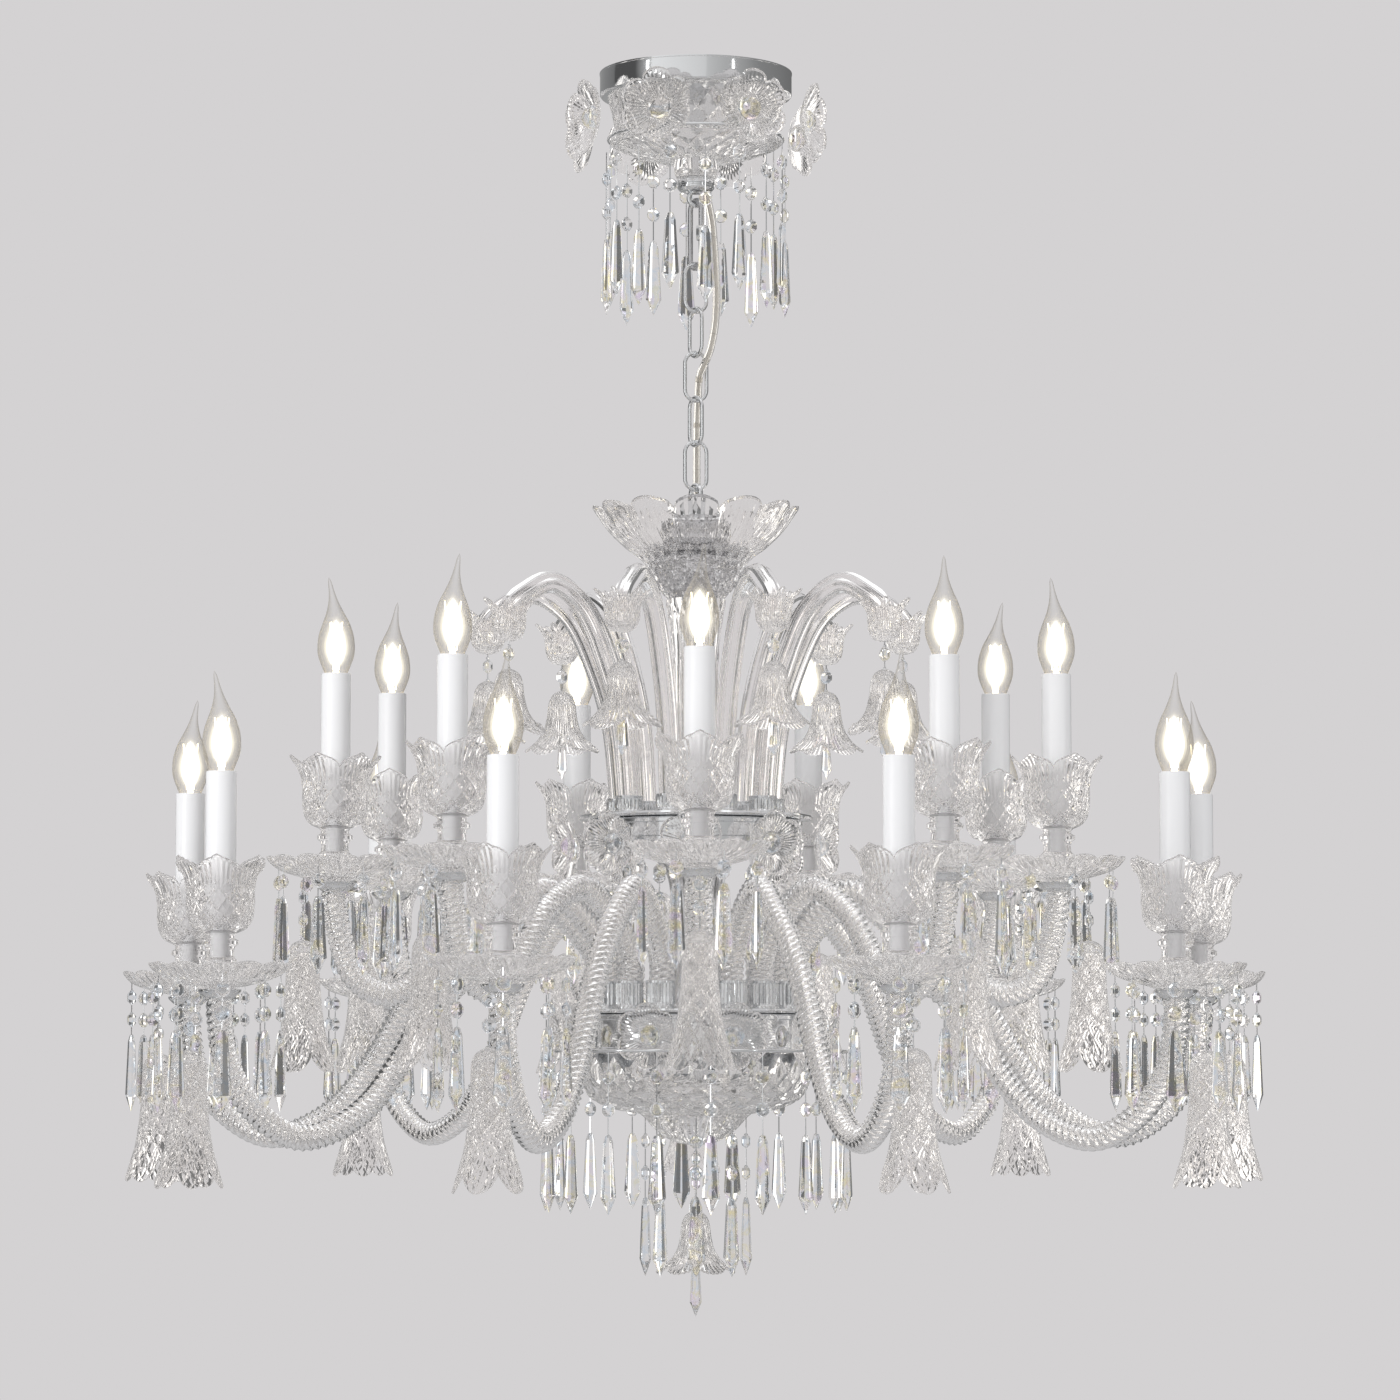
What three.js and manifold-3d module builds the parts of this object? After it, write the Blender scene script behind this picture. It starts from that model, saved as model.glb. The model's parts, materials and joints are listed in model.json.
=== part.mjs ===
// Crystal chandelier, hung on a chain from a ceiling canopy. Millimetres, +Z up, front towards -Y.
// The origin is the point of the ceiling on the chandelier's axis.
import * as THREE from 'three';
import { mergeVertices } from 'three/addons/utils/BufferGeometryUtils.js';
import Module from 'manifold-3d';

const wasm = await Module();
wasm.setup();

const fullTurn = 2 * Math.PI;
const rad = THREE.MathUtils.degToRad;

// Clearances and the depth to which fused shapes of one piece run into each other
const seatGap = 0.3;
const fuse = 1.2;

// Ceiling set
const bracket = { length: 150, width: 24, thickness: 3, bossRadius: 13, bossHeight: 12, screwRadius: 2.6 };
const bracketScrewSpacing = 120;
const nippleRadius = 5;
const canopy = { radius: 91.5, height: 23, wall: 2, bevel: 3 };
const canopyBowl = { radius: 86, height: 60, wall: 4 };
const canopyFlower = { radius: 33, thickness: 12, ring: 111, drop: 26, firstAngle: -18.5 };
const canopyFlowerCount = 8;
const dropRing = { radius: 83, wire: 3, hang: 85, count: 16 };
const canopyDrop = { length: 170, bead: 6, prism: 8, point: 22 };
const hub = { flangeRadius: 21, flangeHeight: 16, nutRadius: 18, nutHeight: 14 };
const loop = { radius: 7, wire: 2.2 };

// Quick link with its screw sleeve, then the chain
const quickLink = { width: 24, length: 70, wire: 2.5, mouth: 8 };
const sleeve = { radius: 4.8, length: 14 };
const link = { width: 25, length: 49.8, wire: 1.75, count: 5 };
const wideTurn = 18;
const narrowTurn = -58;
const eye = { radius: 8, wire: 2.5 };

// Centre stem and the glass and chrome threaded on it, from the top down
const stemRadius = 5;
const collar = { radius: 34, height: 23, neck: 24 };
const topBowl = { radius: 97, height: 88, floor: 45, wall: 5, petals: 12, petalReach: 5, petalLift: 3 };
const upperColumn = { radius: 28, height: 204 };
const crookTray = { radius: 110, thickness: 4 };
const upperBand = { radius: 100, height: 23, wall: 3 };
const middleColumn = { radius: 58, height: 174 };
const lowerTray = { radius: 120, thickness: 4 };
const lowerBand = { radius: 112, height: 36, wall: 3 };
const cutBowl = { radius: 110, height: 56, wall: 5 };
const dish = { radius: 42, height: 28 };

// Ten flowers on each band, and the strings of drops under the bands, the bowl and the dish
const bandFlowerCount = 10;
const upperFlower = { radius: 28, thickness: 10, ring: 125, drop: 26, firstAngle: -2.5 };
const lowerFlower = { radius: 29, thickness: 10, ring: 127, drop: 21, firstAngle: -20 };
const hoop = { wire: 3, spokes: 5 };
const innerDrop = { length: 146, bead: 5, prism: 7, point: 14, ring: 68, count: 9 };
const outerDrop = { length: 150, bead: 5, prism: 7.5, point: 16, ring: 141, count: 18 };
const bowlDrop = { length: 150, bead: 5, prism: 7.5, point: 16, ring: 49, count: 8 };

// Pendant under the dish
const pendant = { pin: 3, bell: 36, bellTop: 62, bellHeight: 57 };
const pendantPrism = { radius: 8, point: 16, below: 41 };

// Two tiers of nine candle arms, all footed in one circle of ferrules on the lower tray
const tierCount = 9;
const armRadius = 12;
const ferrule = { radius: 13.5, height: 26, ring: 97 };
const archHeight = 108;
const upperTier = { reach: 340, height: 109, dropLength: 104, firstAngle: 0 };
const lowerTier = { reach: 490, height: 6, dropLength: 126, firstAngle: 20 };
const riser = 34;

// Nine smooth crooks with a cup, a bead and a bell flower each, footed on the upper tray
const crook = { reach: 200, height: 213, radius: 10.5, ring: 72, end: 176 };
const crookFerrule = { radius: 13, height: 17 };
const crookCup = { radius: 17, foot: 13, height: 40 };
const crookBell = { pin: 3, bell: 36, bellTop: 24, bellHeight: 62 };
const crookPrism = { radius: 7, point: 14, below: 28 };

// Candle lamp on each arm, measured up from the arm's end
const capRadius = 15;
const bobeche = { radius: 60, rim: 28, floor: 12, lobeReach: 2.5 };
const cup = { radius: 38, body: 29, neck: 13, neckTop: 50, waist: 74, top: 120, wall: 4, petalReach: 3, petalLift: 5 };
const petalCount = 6;
const candle = { radius: 13.75, foot: 72, top: 202 };
const bulb = { radius: 17.5, height: 91 };
const lampDrop = { rise: 26, bead: 5, prism: 7.5, point: 14, ring: 53, count: 6 };
const lampBell = { pin: 3, rise: 14, bell: 31, bellTop: 64, bellHeight: 120, ring: 30 };

// Supply cable: outer radius and the points of its centre line, chosen by hand
const cableRadius = 3.75;
const cableRoute = [
  [11, -5, -114.2], [11.3, -5.2, -121], [13.4, -6.8, -133], [15.6, -7.8, -146], [17, -8, -162],
  [18.5, -7.5, -185], [19.5, -7, -210], [18.5, -6.5, -238], [14.5, -5.5, -262], [9, -3.4, -277],
  [4, 0.5, -288], [2.6, 5, -298], [2.2, 9.2, -308], [1.8, 11.8, -320], [1.2, 12.6, -340],
  [1, 13, -370], [1, 13, -405], [1, 13, -433.4],
];

// A closed solid for joining and cutting, from a closed geometry
function toSolid(geometry) {
  const bare = geometry.clone();
  for (const name of ['normal', 'uv']) bare.deleteAttribute(name);
  const merged = mergeVertices(bare, 1e-4);
  const corners = merged.index.array;
  const triangles = [];
  for (let i = 0; i < corners.length; i += 3) {
    const [a, b, c] = corners.slice(i, i + 3);
    if (a !== b && b !== c && c !== a) triangles.push(a, b, c);
  }
  return new wasm.Manifold(new wasm.Mesh({
    numProp: 3,
    vertProperties: new Float32Array(merged.attributes.position.array),
    triVerts: new Uint32Array(triangles),
  }));
}

function toGeometry(solid) {
  const { vertProperties, triVerts } = solid.getMesh();
  const geometry = new THREE.BufferGeometry();
  geometry.setAttribute('position', new THREE.BufferAttribute(new Float32Array(vertProperties), 3));
  geometry.setIndex(new THREE.BufferAttribute(new Uint32Array(triVerts), 1));
  geometry.computeVertexNormals();
  return geometry;
}

function fused(...shapes) {
  return toGeometry(shapes.flat().map(toSolid).reduce((whole, next) => whole.add(next)));
}

function without(shape, ...cutters) {
  return toGeometry(cutters.flat().map(toSolid).reduce((whole, next) => whole.subtract(next), toSolid(shape)));
}

// A shape turned about Z. A profile point is [radius, height], and where the rim has petals also
// how far a petal reaches out and how far it lifts.
function turned(profile, sides, petals = 0) {
  const points = profile.map(([radius, height]) => new THREE.Vector2(radius, height));
  const geometry = new THREE.LatheGeometry(points, sides);
  const position = geometry.attributes.position;
  for (let side = 0; side <= sides; side++) {
    const crest = Math.cos(fullTurn * petals * side / sides);
    profile.forEach(([radius, height, reach = 0, lift = 0], step) => {
      if (!reach && !lift) return;
      const at = side * profile.length + step;
      const stretch = (radius + reach * crest) / radius;
      position.setXYZ(at, position.getX(at) * stretch, height + lift * crest, position.getZ(at) * stretch);
    });
  }
  return geometry.rotateX(Math.PI / 2);
}

// A bowl round a bore: its outside from the foot up to the rim, then back down one wall further in
function hollow([foot, edge, ...side], wall, sides) {
  const rim = side.at(-1);
  const inside = side.slice(0, -1).map(([radius, height]) => [radius - wall, height + wall / 2]);
  return turned([
    foot, edge, ...side, [rim[0] - wall, rim[1]], ...inside.reverse(), [foot[0], foot[1] + wall], foot,
  ], sides);
}

// A plain round bar between two heights
function bar(radius, low, high, sides) {
  return turned([[0, low], [radius, low], [radius, high], [0, high]], sides);
}

// A flat ring between two heights
function ring(inner, outer, low, high, sides) {
  return turned([[inner, low], [outer, low], [outer, high], [inner, high], [inner, low]], sides);
}

// A tube along points of the XZ plane or of space
function tube(points, radius, sides, steps) {
  const section = new THREE.Shape();
  for (let side = 0; side < sides; side++) {
    const angle = fullTurn * (side + 0.5) / sides;
    const place = [radius * Math.cos(angle), radius * Math.sin(angle)];
    if (side) section.lineTo(...place);
    else section.moveTo(...place);
  }
  section.closePath();
  const extrudePath = new THREE.CatmullRomCurve3(points.map((point) => new THREE.Vector3(...point)), false, 'centripetal');
  return new THREE.ExtrudeGeometry(section, { steps, extrudePath, bevelEnabled: false });
}

// A chain link standing in the XZ plane, round at both ends, its middle at the origin
const linkSteps = 10;
function stadium(width, length, wire) {
  const geometry = new THREE.TorusGeometry(width / 2 - wire, wire, 6, linkSteps);
  geometry.rotateZ(Math.PI / linkSteps);
  const position = geometry.attributes.position;
  for (let i = 0; i < position.count; i++) {
    position.setX(i, position.getX(i) / Math.cos(Math.PI / linkSteps));
    position.setY(i, position.getY(i) + Math.sign(position.getY(i)) * (length - width) / 2);
  }
  return geometry.rotateX(Math.PI / 2);
}

// Copies of a shape around Z; angles are in degrees from the front, growing to the right
function facing(angle) {
  return rad(angle - 90);
}

function around(count, firstAngle, shape) {
  return Array.from({ length: count }, (_, i) => shape.clone().rotateZ(facing(firstAngle + 360 * i / count)));
}

// A crystal drop hung from its top point: a bead's width at the top, widening to a pointed prism
const dropSides = 4;
function crystalDrop({ length, bead, prism, point }) {
  return turned([[0, -length], [prism, point - length], [bead, -2 * bead], [0, 0]], dropSides);
}

// A bell hung by a pin from its top point: a narrow crown that flares to a six-cornered mouth
const crownShare = 0.5;
const waistShare = 0.3;
function bellDrop({ pin, bell, bellTop, bellHeight }) {
  const waist = -bellTop - bellHeight * waistShare;
  return turned([
    [0, waist - bellHeight * waistShare], [bell, -bellTop - bellHeight], [bell * crownShare, waist],
    [pin, -bellTop], [0, 0],
  ], 6);
}

// A moulded glass flower that faces outwards, its back drawn out to a point in what carries it
function flower({ radius, thickness, ring: place }, back) {
  const petals = 6;
  const petalShare = 0.1;
  const rim = radius * (1 - petalShare);
  const blossom = turned([[0, back - place], [rim, 0, radius * petalShare], [0, thickness / 2]], 2 * petals, petals);
  return blossom.rotateY(Math.PI / 2).translate(place, 0, 0);
}

function flowers(size, count, back, top) {
  return around(count, size.firstAngle, flower(size, back).translate(0, 0, top - size.drop));
}

// Finishes
const finishes = {
  chrome: { color: 0xd8dadc, metalness: 1, roughness: 0.12 },
  glass: { color: 0xf2f0ee, metalness: 0, roughness: 0.05, transparent: true, opacity: 0.45 },
  candle: { color: 0xf6f5f6, metalness: 0, roughness: 0.2 },
  cable: { color: 0xdcd8cf, metalness: 0, roughness: 0.3, transparent: true, opacity: 0.7 },
  steel: { color: 0xb9bbbd, metalness: 0.9, roughness: 0.35 },
};

function piece(name, geometry, finish) {
  const mesh = new THREE.Mesh(geometry, new THREE.MeshStandardMaterial(finishes[finish]));
  mesh.name = name;
  return mesh;
}

const chandelier = new THREE.Group();

// Ceiling bracket: a flat bar with two screw holes and a threaded boss that is closed at the top
function makeBracket() {
  const slab = new THREE.BoxGeometry(bracket.length, bracket.width, bracket.thickness);
  slab.translate(0, 0, -bracket.thickness / 2);
  const bossBottom = -bracket.thickness - bracket.bossHeight;
  const boss = bar(bracket.bossRadius, bossBottom, -bracket.thickness / 2, 12);
  const thread = bar(nippleRadius + seatGap, bossBottom - fuse, -bracket.thickness, 12);
  const screwHole = bar(bracket.screwRadius, -bracket.thickness - fuse, fuse, 8);
  const screwHoles = [-1, 1].map((side) => screwHole.clone().translate(side * bracketScrewSpacing / 2, 0, 0));
  return without(fused(slab, boss), thread, screwHoles);
}

// Canopy pan: open to the ceiling, with a hole for the nipple
function makeCanopyShell() {
  const { radius, height, wall, bevel } = canopy;
  const bore = nippleRadius + seatGap;
  return turned([
    [bore, -height], [radius - bevel, -height], [radius, bevel - height], [radius, 0],
    [radius - wall, 0], [radius - wall, wall - height], [bore, wall - height], [bore, -height],
  ], 24);
}

// Canopy bowl: cut glass with a ledge for the drop ring, and the flowers pinned through its side
const canopyBowlTop = -canopy.height - seatGap;
const ledgeShare = 0.3;
const canopyBowlShares = [[0.42, 0], [0.95, ledgeShare - 0.05], [0.95, ledgeShare], [0.88, ledgeShare], [0.98, 1]];
function makeCanopyBowl() {
  const { radius, height, wall } = canopyBowl;
  const foot = canopyBowlTop - height;
  const bore = nippleRadius + seatGap;
  const side = canopyBowlShares.map(([out, up]) => [out * radius, foot + up * height]);
  const [, , , shoulder, rim] = side;
  const bowl = turned([
    [bore, foot], ...side, [rim[0] - wall, rim[1]], [shoulder[0] - wall, shoulder[1]],
    [side[0][0], foot + wall], [bore, foot + wall], [bore, foot],
  ], 16);
  return fused(bowl, flowers(canopyFlower, canopyFlowerCount, shoulder[0] - wall / 2, canopyBowlTop));
}

// Drop ring: a chrome wire ring lying on the bowl's ledge, with the drops pinned to it
const ledgeHeight = canopyBowlTop - canopyBowl.height * (1 - ledgeShare);
function makeDropRing() {
  const { radius, wire, hang, count } = dropRing;
  const low = ledgeHeight + seatGap;
  const wireRing = ring(radius - wire, radius + wire, low, low + wire, count);
  const strings = around(count, 90 / count, crystalDrop(canopyDrop).translate(hang, 0, low + wire / 2));
  return fused(wireRing, strings);
}

// Hub: nipple, flange that carries the bowl, nut, and the loop for the quick link
const flangeTop = canopyBowlTop - canopyBowl.height - seatGap;
const flangeBottom = flangeTop - hub.flangeHeight;
const hubBottom = flangeBottom - hub.nutHeight;
const loopMiddle = hubBottom - loop.radius + loop.wire / 2;
function makeHub() {
  const nippleTop = -bracket.thickness - seatGap;
  const body = turned([
    [0, hubBottom], [hub.nutRadius, hubBottom], [hub.nutRadius, flangeBottom], [hub.flangeRadius, flangeBottom],
    [hub.flangeRadius, flangeTop], [nippleRadius, flangeTop], [nippleRadius, nippleTop], [0, nippleTop],
  ], 12);
  const hangingLoop = stadium(2 * (loop.radius + loop.wire), 2 * (loop.radius + loop.wire), loop.wire);
  return fused(body, hangingLoop.rotateZ(rad(wideTurn)).translate(0, 0, loopMiddle));
}

chandelier.add(
  piece('ceiling_bracket', makeBracket(), 'steel'),
  piece('canopy_shell', makeCanopyShell(), 'chrome'),
  piece('canopy_glass_bowl', makeCanopyBowl(), 'glass'),
  piece('canopy_drop_ring', makeDropRing(), 'glass'),
  piece('canopy_hub', makeHub(), 'chrome'),
);

// Where one wire hangs in another, the lower piece's wire lies on top of the upper one's
function nextTopWire(bottomWire, upperWire, lowerWire) {
  return bottomWire + upperWire + seatGap + lowerWire;
}

// Quick link: an oval of thick wire, open on one side, where its screw sleeve closes it
const quickTopWire = nextTopWire(loopMiddle - loop.radius, loop.wire, quickLink.wire);
const quickMiddle = quickTopWire + quickLink.wire - quickLink.length / 2;
const quickBottomWire = quickMiddle - quickLink.length / 2 + quickLink.wire;
const quickLeg = quickLink.width / 2 - quickLink.wire;

function makeQuickLink() {
  const gap = new THREE.BoxGeometry(4 * quickLink.wire, 4 * quickLink.wire, quickLink.mouth);
  return without(stadium(quickLink.width, quickLink.length, quickLink.wire), gap.translate(quickLeg, 0, 0));
}

const quickTurned = new THREE.Group();
quickTurned.rotation.z = rad(narrowTurn);
quickTurned.position.z = quickMiddle;
quickTurned.add(piece('quick_link', makeQuickLink(), 'steel'));
const screwSleeve = piece(
  'quick_link_sleeve',
  ring(quickLink.wire + seatGap, sleeve.radius, -sleeve.length / 2, sleeve.length / 2, 12),
  'steel',
);
screwSleeve.position.x = quickLeg;
quickTurned.add(screwSleeve);
chandelier.add(quickTurned);

// Chain
const linkPitch = link.length - 4 * link.wire - seatGap;
const firstTopWire = nextTopWire(quickBottomWire, quickLink.wire, link.wire);
for (let i = 0; i < link.count; i++) {
  const chainLink = piece(`chain_link_${i + 1}`, stadium(link.width, link.length, link.wire), 'chrome');
  chainLink.rotation.z = rad(i % 2 ? narrowTurn : wideTurn);
  chainLink.position.z = firstTopWire + link.wire - link.length / 2 - i * linkPitch;
  chandelier.add(chainLink);
}

// Heights of the chandelier's body, from the chain's last wire down
const lastBottomWire = firstTopWire - link.length + 2 * link.wire - (link.count - 1) * linkPitch;
const eyeMiddle = nextTopWire(lastBottomWire, link.wire, eye.wire) - eye.radius;
const stemTop = eyeMiddle - eye.radius;
const collarTop = stemTop - collar.neck;
const collarBottom = collarTop - collar.height;
const topBowlFoot = collarBottom - seatGap - topBowl.floor;
const upperColumnFoot = topBowlFoot - seatGap - upperColumn.height;
const crookTrayTop = upperColumnFoot - seatGap;
const upperBandTop = crookTrayTop - crookTray.thickness - seatGap;
const middleColumnTop = upperBandTop - upperBand.wall - seatGap;
const lowerTrayTop = middleColumnTop - middleColumn.height - seatGap;
const lowerBandTop = lowerTrayTop - lowerTray.thickness - seatGap;
const cutBowlTop = lowerBandTop - lowerBand.height - seatGap;
const cutBowlFoot = cutBowlTop - cutBowl.height;
const dishTop = cutBowlFoot - seatGap;
const dishFoot = dishTop - dish.height;
const stemBore = stemRadius + seatGap;

// Centre stem: eye, collar and the long rod that carries everything below
function makeStem() {
  const stemFoot = dishTop - dish.height / 2;
  const rod = turned([
    [0, stemFoot], [stemRadius, stemFoot], [stemRadius, collarBottom], [collar.radius, collarBottom],
    [collar.radius, collarTop], [stemRadius, collarTop], [stemRadius, stemTop], [0, stemTop],
  ], 12);
  const eyeSize = 2 * (eye.radius + eye.wire);
  const hangingEye = stadium(eyeSize, eyeSize, eye.wire).rotateZ(rad(narrowTurn)).translate(0, 0, eyeMiddle);
  return fused(rod, hangingEye);
}

// Top bowl: a thick glass neck that opens into twelve petals
const topBowlShares = [[0.27, 0], [0.41, 0.16], [0.52, 0.4], [0.65, 0.53], [0.95, 0.97]];
function makeTopBowl() {
  const { radius, height, floor, wall, petals, petalReach, petalLift } = topBowl;
  const side = topBowlShares.map(([out, up]) => [out * radius, topBowlFoot + up * height]);
  side.at(-1).push(petalReach, petalLift);
  const inner = side.slice(-2).reverse().map(([out, up, ...petal]) => [out - wall, up + wall / 2, ...petal]);
  const floorHeight = topBowlFoot + floor;
  const profile = [
    [stemBore, topBowlFoot], ...side, ...inner, [collar.radius + fuse, floorHeight], [stemBore, floorHeight],
    [stemBore, topBowlFoot],
  ];
  return turned(profile, 2 * petals, petals);
}

// Upper column: glass that flares into the top bowl's foot
const upperColumnShares = [[0.93, 0], [0.78, 0.2], [0.78, 0.72], [1, 1]];
function makeUpperColumn() {
  const side = upperColumnShares.map(([out, up]) => [out * upperColumn.radius, upperColumnFoot + up * upperColumn.height]);
  const top = upperColumnFoot + upperColumn.height;
  return turned([[stemBore, upperColumnFoot], ...side, [stemBore, top], [stemBore, upperColumnFoot]], 12);
}

// Crooks on their tray: each rises from a ferrule, bends over and carries a cup, a bell and a prism
const crookShares = [[0, 0.03], [0.02, 0.2], [0.06, 0.4], [0.16, 0.62], [0.36, 0.88], [0.64, 1], [0.88, 0.94]];
const prismShare = 0.7;
function bellWithPrism({ pin, bell, bellTop, bellHeight }, prism, top) {
  const mouth = -bellTop - bellHeight;
  return [
    [0, mouth - prism.below], [prism.radius, mouth - prism.below + prism.point], [prism.radius * prismShare, mouth + pin],
    [bell, mouth], [bell * crownShare, mouth + bellHeight * (1 - waistShare)], [pin, -bellTop],
  ].map(([radius, height]) => [radius, top + height]);
}

function makeCrooks() {
  const across = crook.reach - crook.ring;
  const centreLine = crookShares.map(([out, up]) => [crook.ring + out * across, 0, up * crook.height]);
  centreLine.push([crook.reach, 0, crook.end + crook.radius], [crook.reach, 0, crook.end]);
  const glass = tube(centreLine, crook.radius, 5, 11);
  const foot = bar(crookFerrule.radius, -fuse, crookFerrule.height, 6).translate(crook.ring, 0, 0);
  const cupFoot = crook.end - crookCup.height / 2;
  const cupTop = crook.end + crookCup.height / 2;
  const string = turned([
    ...bellWithPrism(crookBell, crookPrism, cupFoot), [crookCup.foot, cupFoot], [crookCup.radius, cupTop],
    [0, crook.end + fuse],
  ], 6);
  const set = fused(glass, foot, string.translate(crook.reach, 0, 0)).translate(0, 0, crookTrayTop);
  const tray = ring(stemBore, crookTray.radius, crookTrayTop - crookTray.thickness, crookTrayTop, 18);
  return fused(tray, around(tierCount, lowerTier.firstAngle, set));
}

// A chrome band: a shallow pan that is open below, with glass flowers pinned round it
function makeBand({ radius, height, wall }, top, flowerSize) {
  const low = top - height;
  const pan = turned([
    [stemBore, top - wall], [radius - wall, top - wall], [radius - wall, low], [radius, low],
    [radius, top], [stemBore, top], [stemBore, top - wall],
  ], 16);
  return [pan, ...flowers(flowerSize, bandFlowerCount, radius - 2 * wall, top)];
}

function dropCircle(size, height) {
  return around(size.count, 90 / size.count, crystalDrop(size).translate(size.ring, 0, height));
}

function makeUpperBand() {
  const band = makeBand(upperBand, upperBandTop, upperFlower);
  return fused(band, dropCircle(innerDrop, upperBandTop - upperBand.wall / 2));
}

// The lower band also carries, on spokes, a hoop outside its flowers for the outer drops
function makeLowerBand() {
  const band = makeBand(lowerBand, lowerBandTop, lowerFlower);
  const low = lowerBandTop - lowerBand.height;
  const dropHoop = ring(outerDrop.ring - hoop.wire, outerDrop.ring + hoop.wire, low, low + hoop.wire, 18);
  const spoke = bar(hoop.wire / 2, lowerBand.radius - lowerBand.wall, outerDrop.ring, 4).rotateY(Math.PI / 2);
  const spokes = around(hoop.spokes, lowerFlower.firstAngle + 180 / bandFlowerCount, spoke.translate(0, 0, low + hoop.wire / 2));
  return fused(band, dropHoop, dropCircle(outerDrop, low + hoop.wire / 2), spokes);
}

// Middle column: a glass bowl under the upper band's plate that narrows to a column
const middleColumnShares = [[0.66, 0], [0.45, 0.15], [0.4, 0.6], [0.6, 0.76], [1, 1]];
function makeMiddleColumn() {
  const foot = middleColumnTop - middleColumn.height;
  const side = middleColumnShares.map(([out, up]) => [out * middleColumn.radius, foot + up * middleColumn.height]);
  return turned([[stemBore, foot], ...side, [stemBore, middleColumnTop], [stemBore, foot]], 16);
}

function makeLowerTray() {
  return ring(stemBore, lowerTray.radius, lowerTrayTop - lowerTray.thickness, lowerTrayTop, 24);
}

// Cut bowl: the broad crystal bowl under the lower band
const cutBowlShares = [[0.48, 0], [0.9, 0.25], [1, 1]];
function makeCutBowl() {
  const side = cutBowlShares.map(([out, up]) => [out * cutBowl.radius, cutBowlFoot + up * cutBowl.height]);
  return hollow([[stemBore, cutBowlFoot], ...side], cutBowl.wall, 16);
}

// Bottom dish: screwed onto the stem's end, with its ring of drops
function makeDish() {
  const { radius, height } = dish;
  const body = turned([
    [0, dishFoot], [radius * 0.3, dishFoot], [radius, dishFoot + height / 2], [radius * 1.2, dishTop], [0, dishTop],
  ], 12);
  const thread = bar(stemBore, dishTop - height / 2 - seatGap, dishTop + fuse, 12);
  const strings = around(bowlDrop.count, 0, crystalDrop(bowlDrop).translate(bowlDrop.ring - fuse, 0, dishTop - fuse));
  return fused(without(body, thread), strings);
}

chandelier.add(
  piece('centre_stem', makeStem(), 'chrome'),
  piece('top_bowl', makeTopBowl(), 'glass'),
  piece('upper_column', makeUpperColumn(), 'glass'),
  piece('crook_tray', makeCrooks(), 'glass'),
  piece('upper_flower_band', makeUpperBand(), 'chrome'),
  piece('middle_column', makeMiddleColumn(), 'glass'),
  piece('lower_tray', makeLowerTray(), 'chrome'),
  piece('lower_flower_band', makeLowerBand(), 'chrome'),
  piece('cut_crystal_bowl', makeCutBowl(), 'glass'),
  piece('bottom_dish', makeDish(), 'glass'),
);

// Supply cable
chandelier.add(piece('power_cable', tube(cableRoute, cableRadius, 6, 24), 'cable'));

// An arm's centre line: up from its ferrule, over the arch, down through the U and up to its lamp
const upperArmShares = [[0, 0.05], [0, 0.5], [0.24, 1], [0.46, 0.83], [0.62, 0.4], [0.78, 0.13], [0.93, 0.3]];
const lowerArmShares = [
  [0, 0.05], [0, 0.5], [0.15, 1], [0.29, 0.76], [0.42, 0.28], [0.54, -0.45], [0.65, -0.9],
  [0.79, -1.09], [0.91, -0.87], [0.98, -0.49],
];
function makeArm(tier, shares, steps) {
  const across = tier.reach - ferrule.ring;
  const centreLine = shares.map(([out, up]) => [ferrule.ring + out * across, 0, up * archHeight]);
  const end = tier.height - seatGap;
  centreLine.push([tier.reach, 0, end - riser / 2], [tier.reach, 0, end]);
  const glass = tube(centreLine, armRadius, 5, steps);
  const foot = bar(ferrule.radius, seatGap, ferrule.height, 6).translate(ferrule.ring, 0, 0);
  return fused(glass, foot);
}

// A candle lamp, from its metal cap up to the bulb's tip, with its drops and bell
const bulbWaistShare = 0.32;
function makeLamp(dropLength) {
  const { rim, floor } = bobeche;
  const body = turned([
    [0, 0], [capRadius, 0], [bobeche.radius, rim, bobeche.lobeReach], [cup.neck, floor],
    [cup.neck, cup.neckTop], [cup.body, cup.waist], [cup.radius, cup.top, cup.petalReach, cup.petalLift],
    [cup.body - cup.wall, cup.waist + cup.wall], [candle.radius, candle.foot], [candle.radius, candle.top],
    [bulb.radius, candle.top + bulbWaistShare * bulb.height], [0, candle.top + bulb.height],
  ], 2 * petalCount, petalCount);
  const drop = crystalDrop({ ...lampDrop, length: dropLength }).translate(lampDrop.ring, 0, lampDrop.rise);
  const strings = around(lampDrop.count, 90 + 180 / lampDrop.count, drop);
  const bell = bellDrop(lampBell).translate(lampBell.ring, 0, lampBell.rise);
  return fused(body, strings, bell);
}

function addTier(label, tier, shares, steps) {
  const armGeometry = makeArm(tier, shares, steps);
  const lampGeometry = makeLamp(tier.dropLength);
  for (let i = 0; i < tierCount; i++) {
    const branch = new THREE.Group();
    branch.rotation.z = facing(tier.firstAngle + 360 * i / tierCount);
    branch.position.z = lowerTrayTop;
    branch.add(piece(`${label}_arm_${i + 1}`, armGeometry, 'glass'));
    const lamp = piece(`${label}_lamp_${i + 1}`, lampGeometry, 'candle');
    lamp.position.set(tier.reach, 0, tier.height);
    branch.add(lamp);
    chandelier.add(branch);
  }
}
addTier('upper', upperTier, upperArmShares, 12);
addTier('lower', lowerTier, lowerArmShares, 16);

// Pendant: a bell and a prism on a pin under the dish
function makePendant() {
  return turned([...bellWithPrism(pendant, pendantPrism, 0), [0, 0]], 6);
}
const bottomPendant = piece('bottom_pendant', makePendant(), 'glass');
bottomPendant.position.z = dishFoot - seatGap;
chandelier.add(bottomPendant);

export default chandelier;
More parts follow.
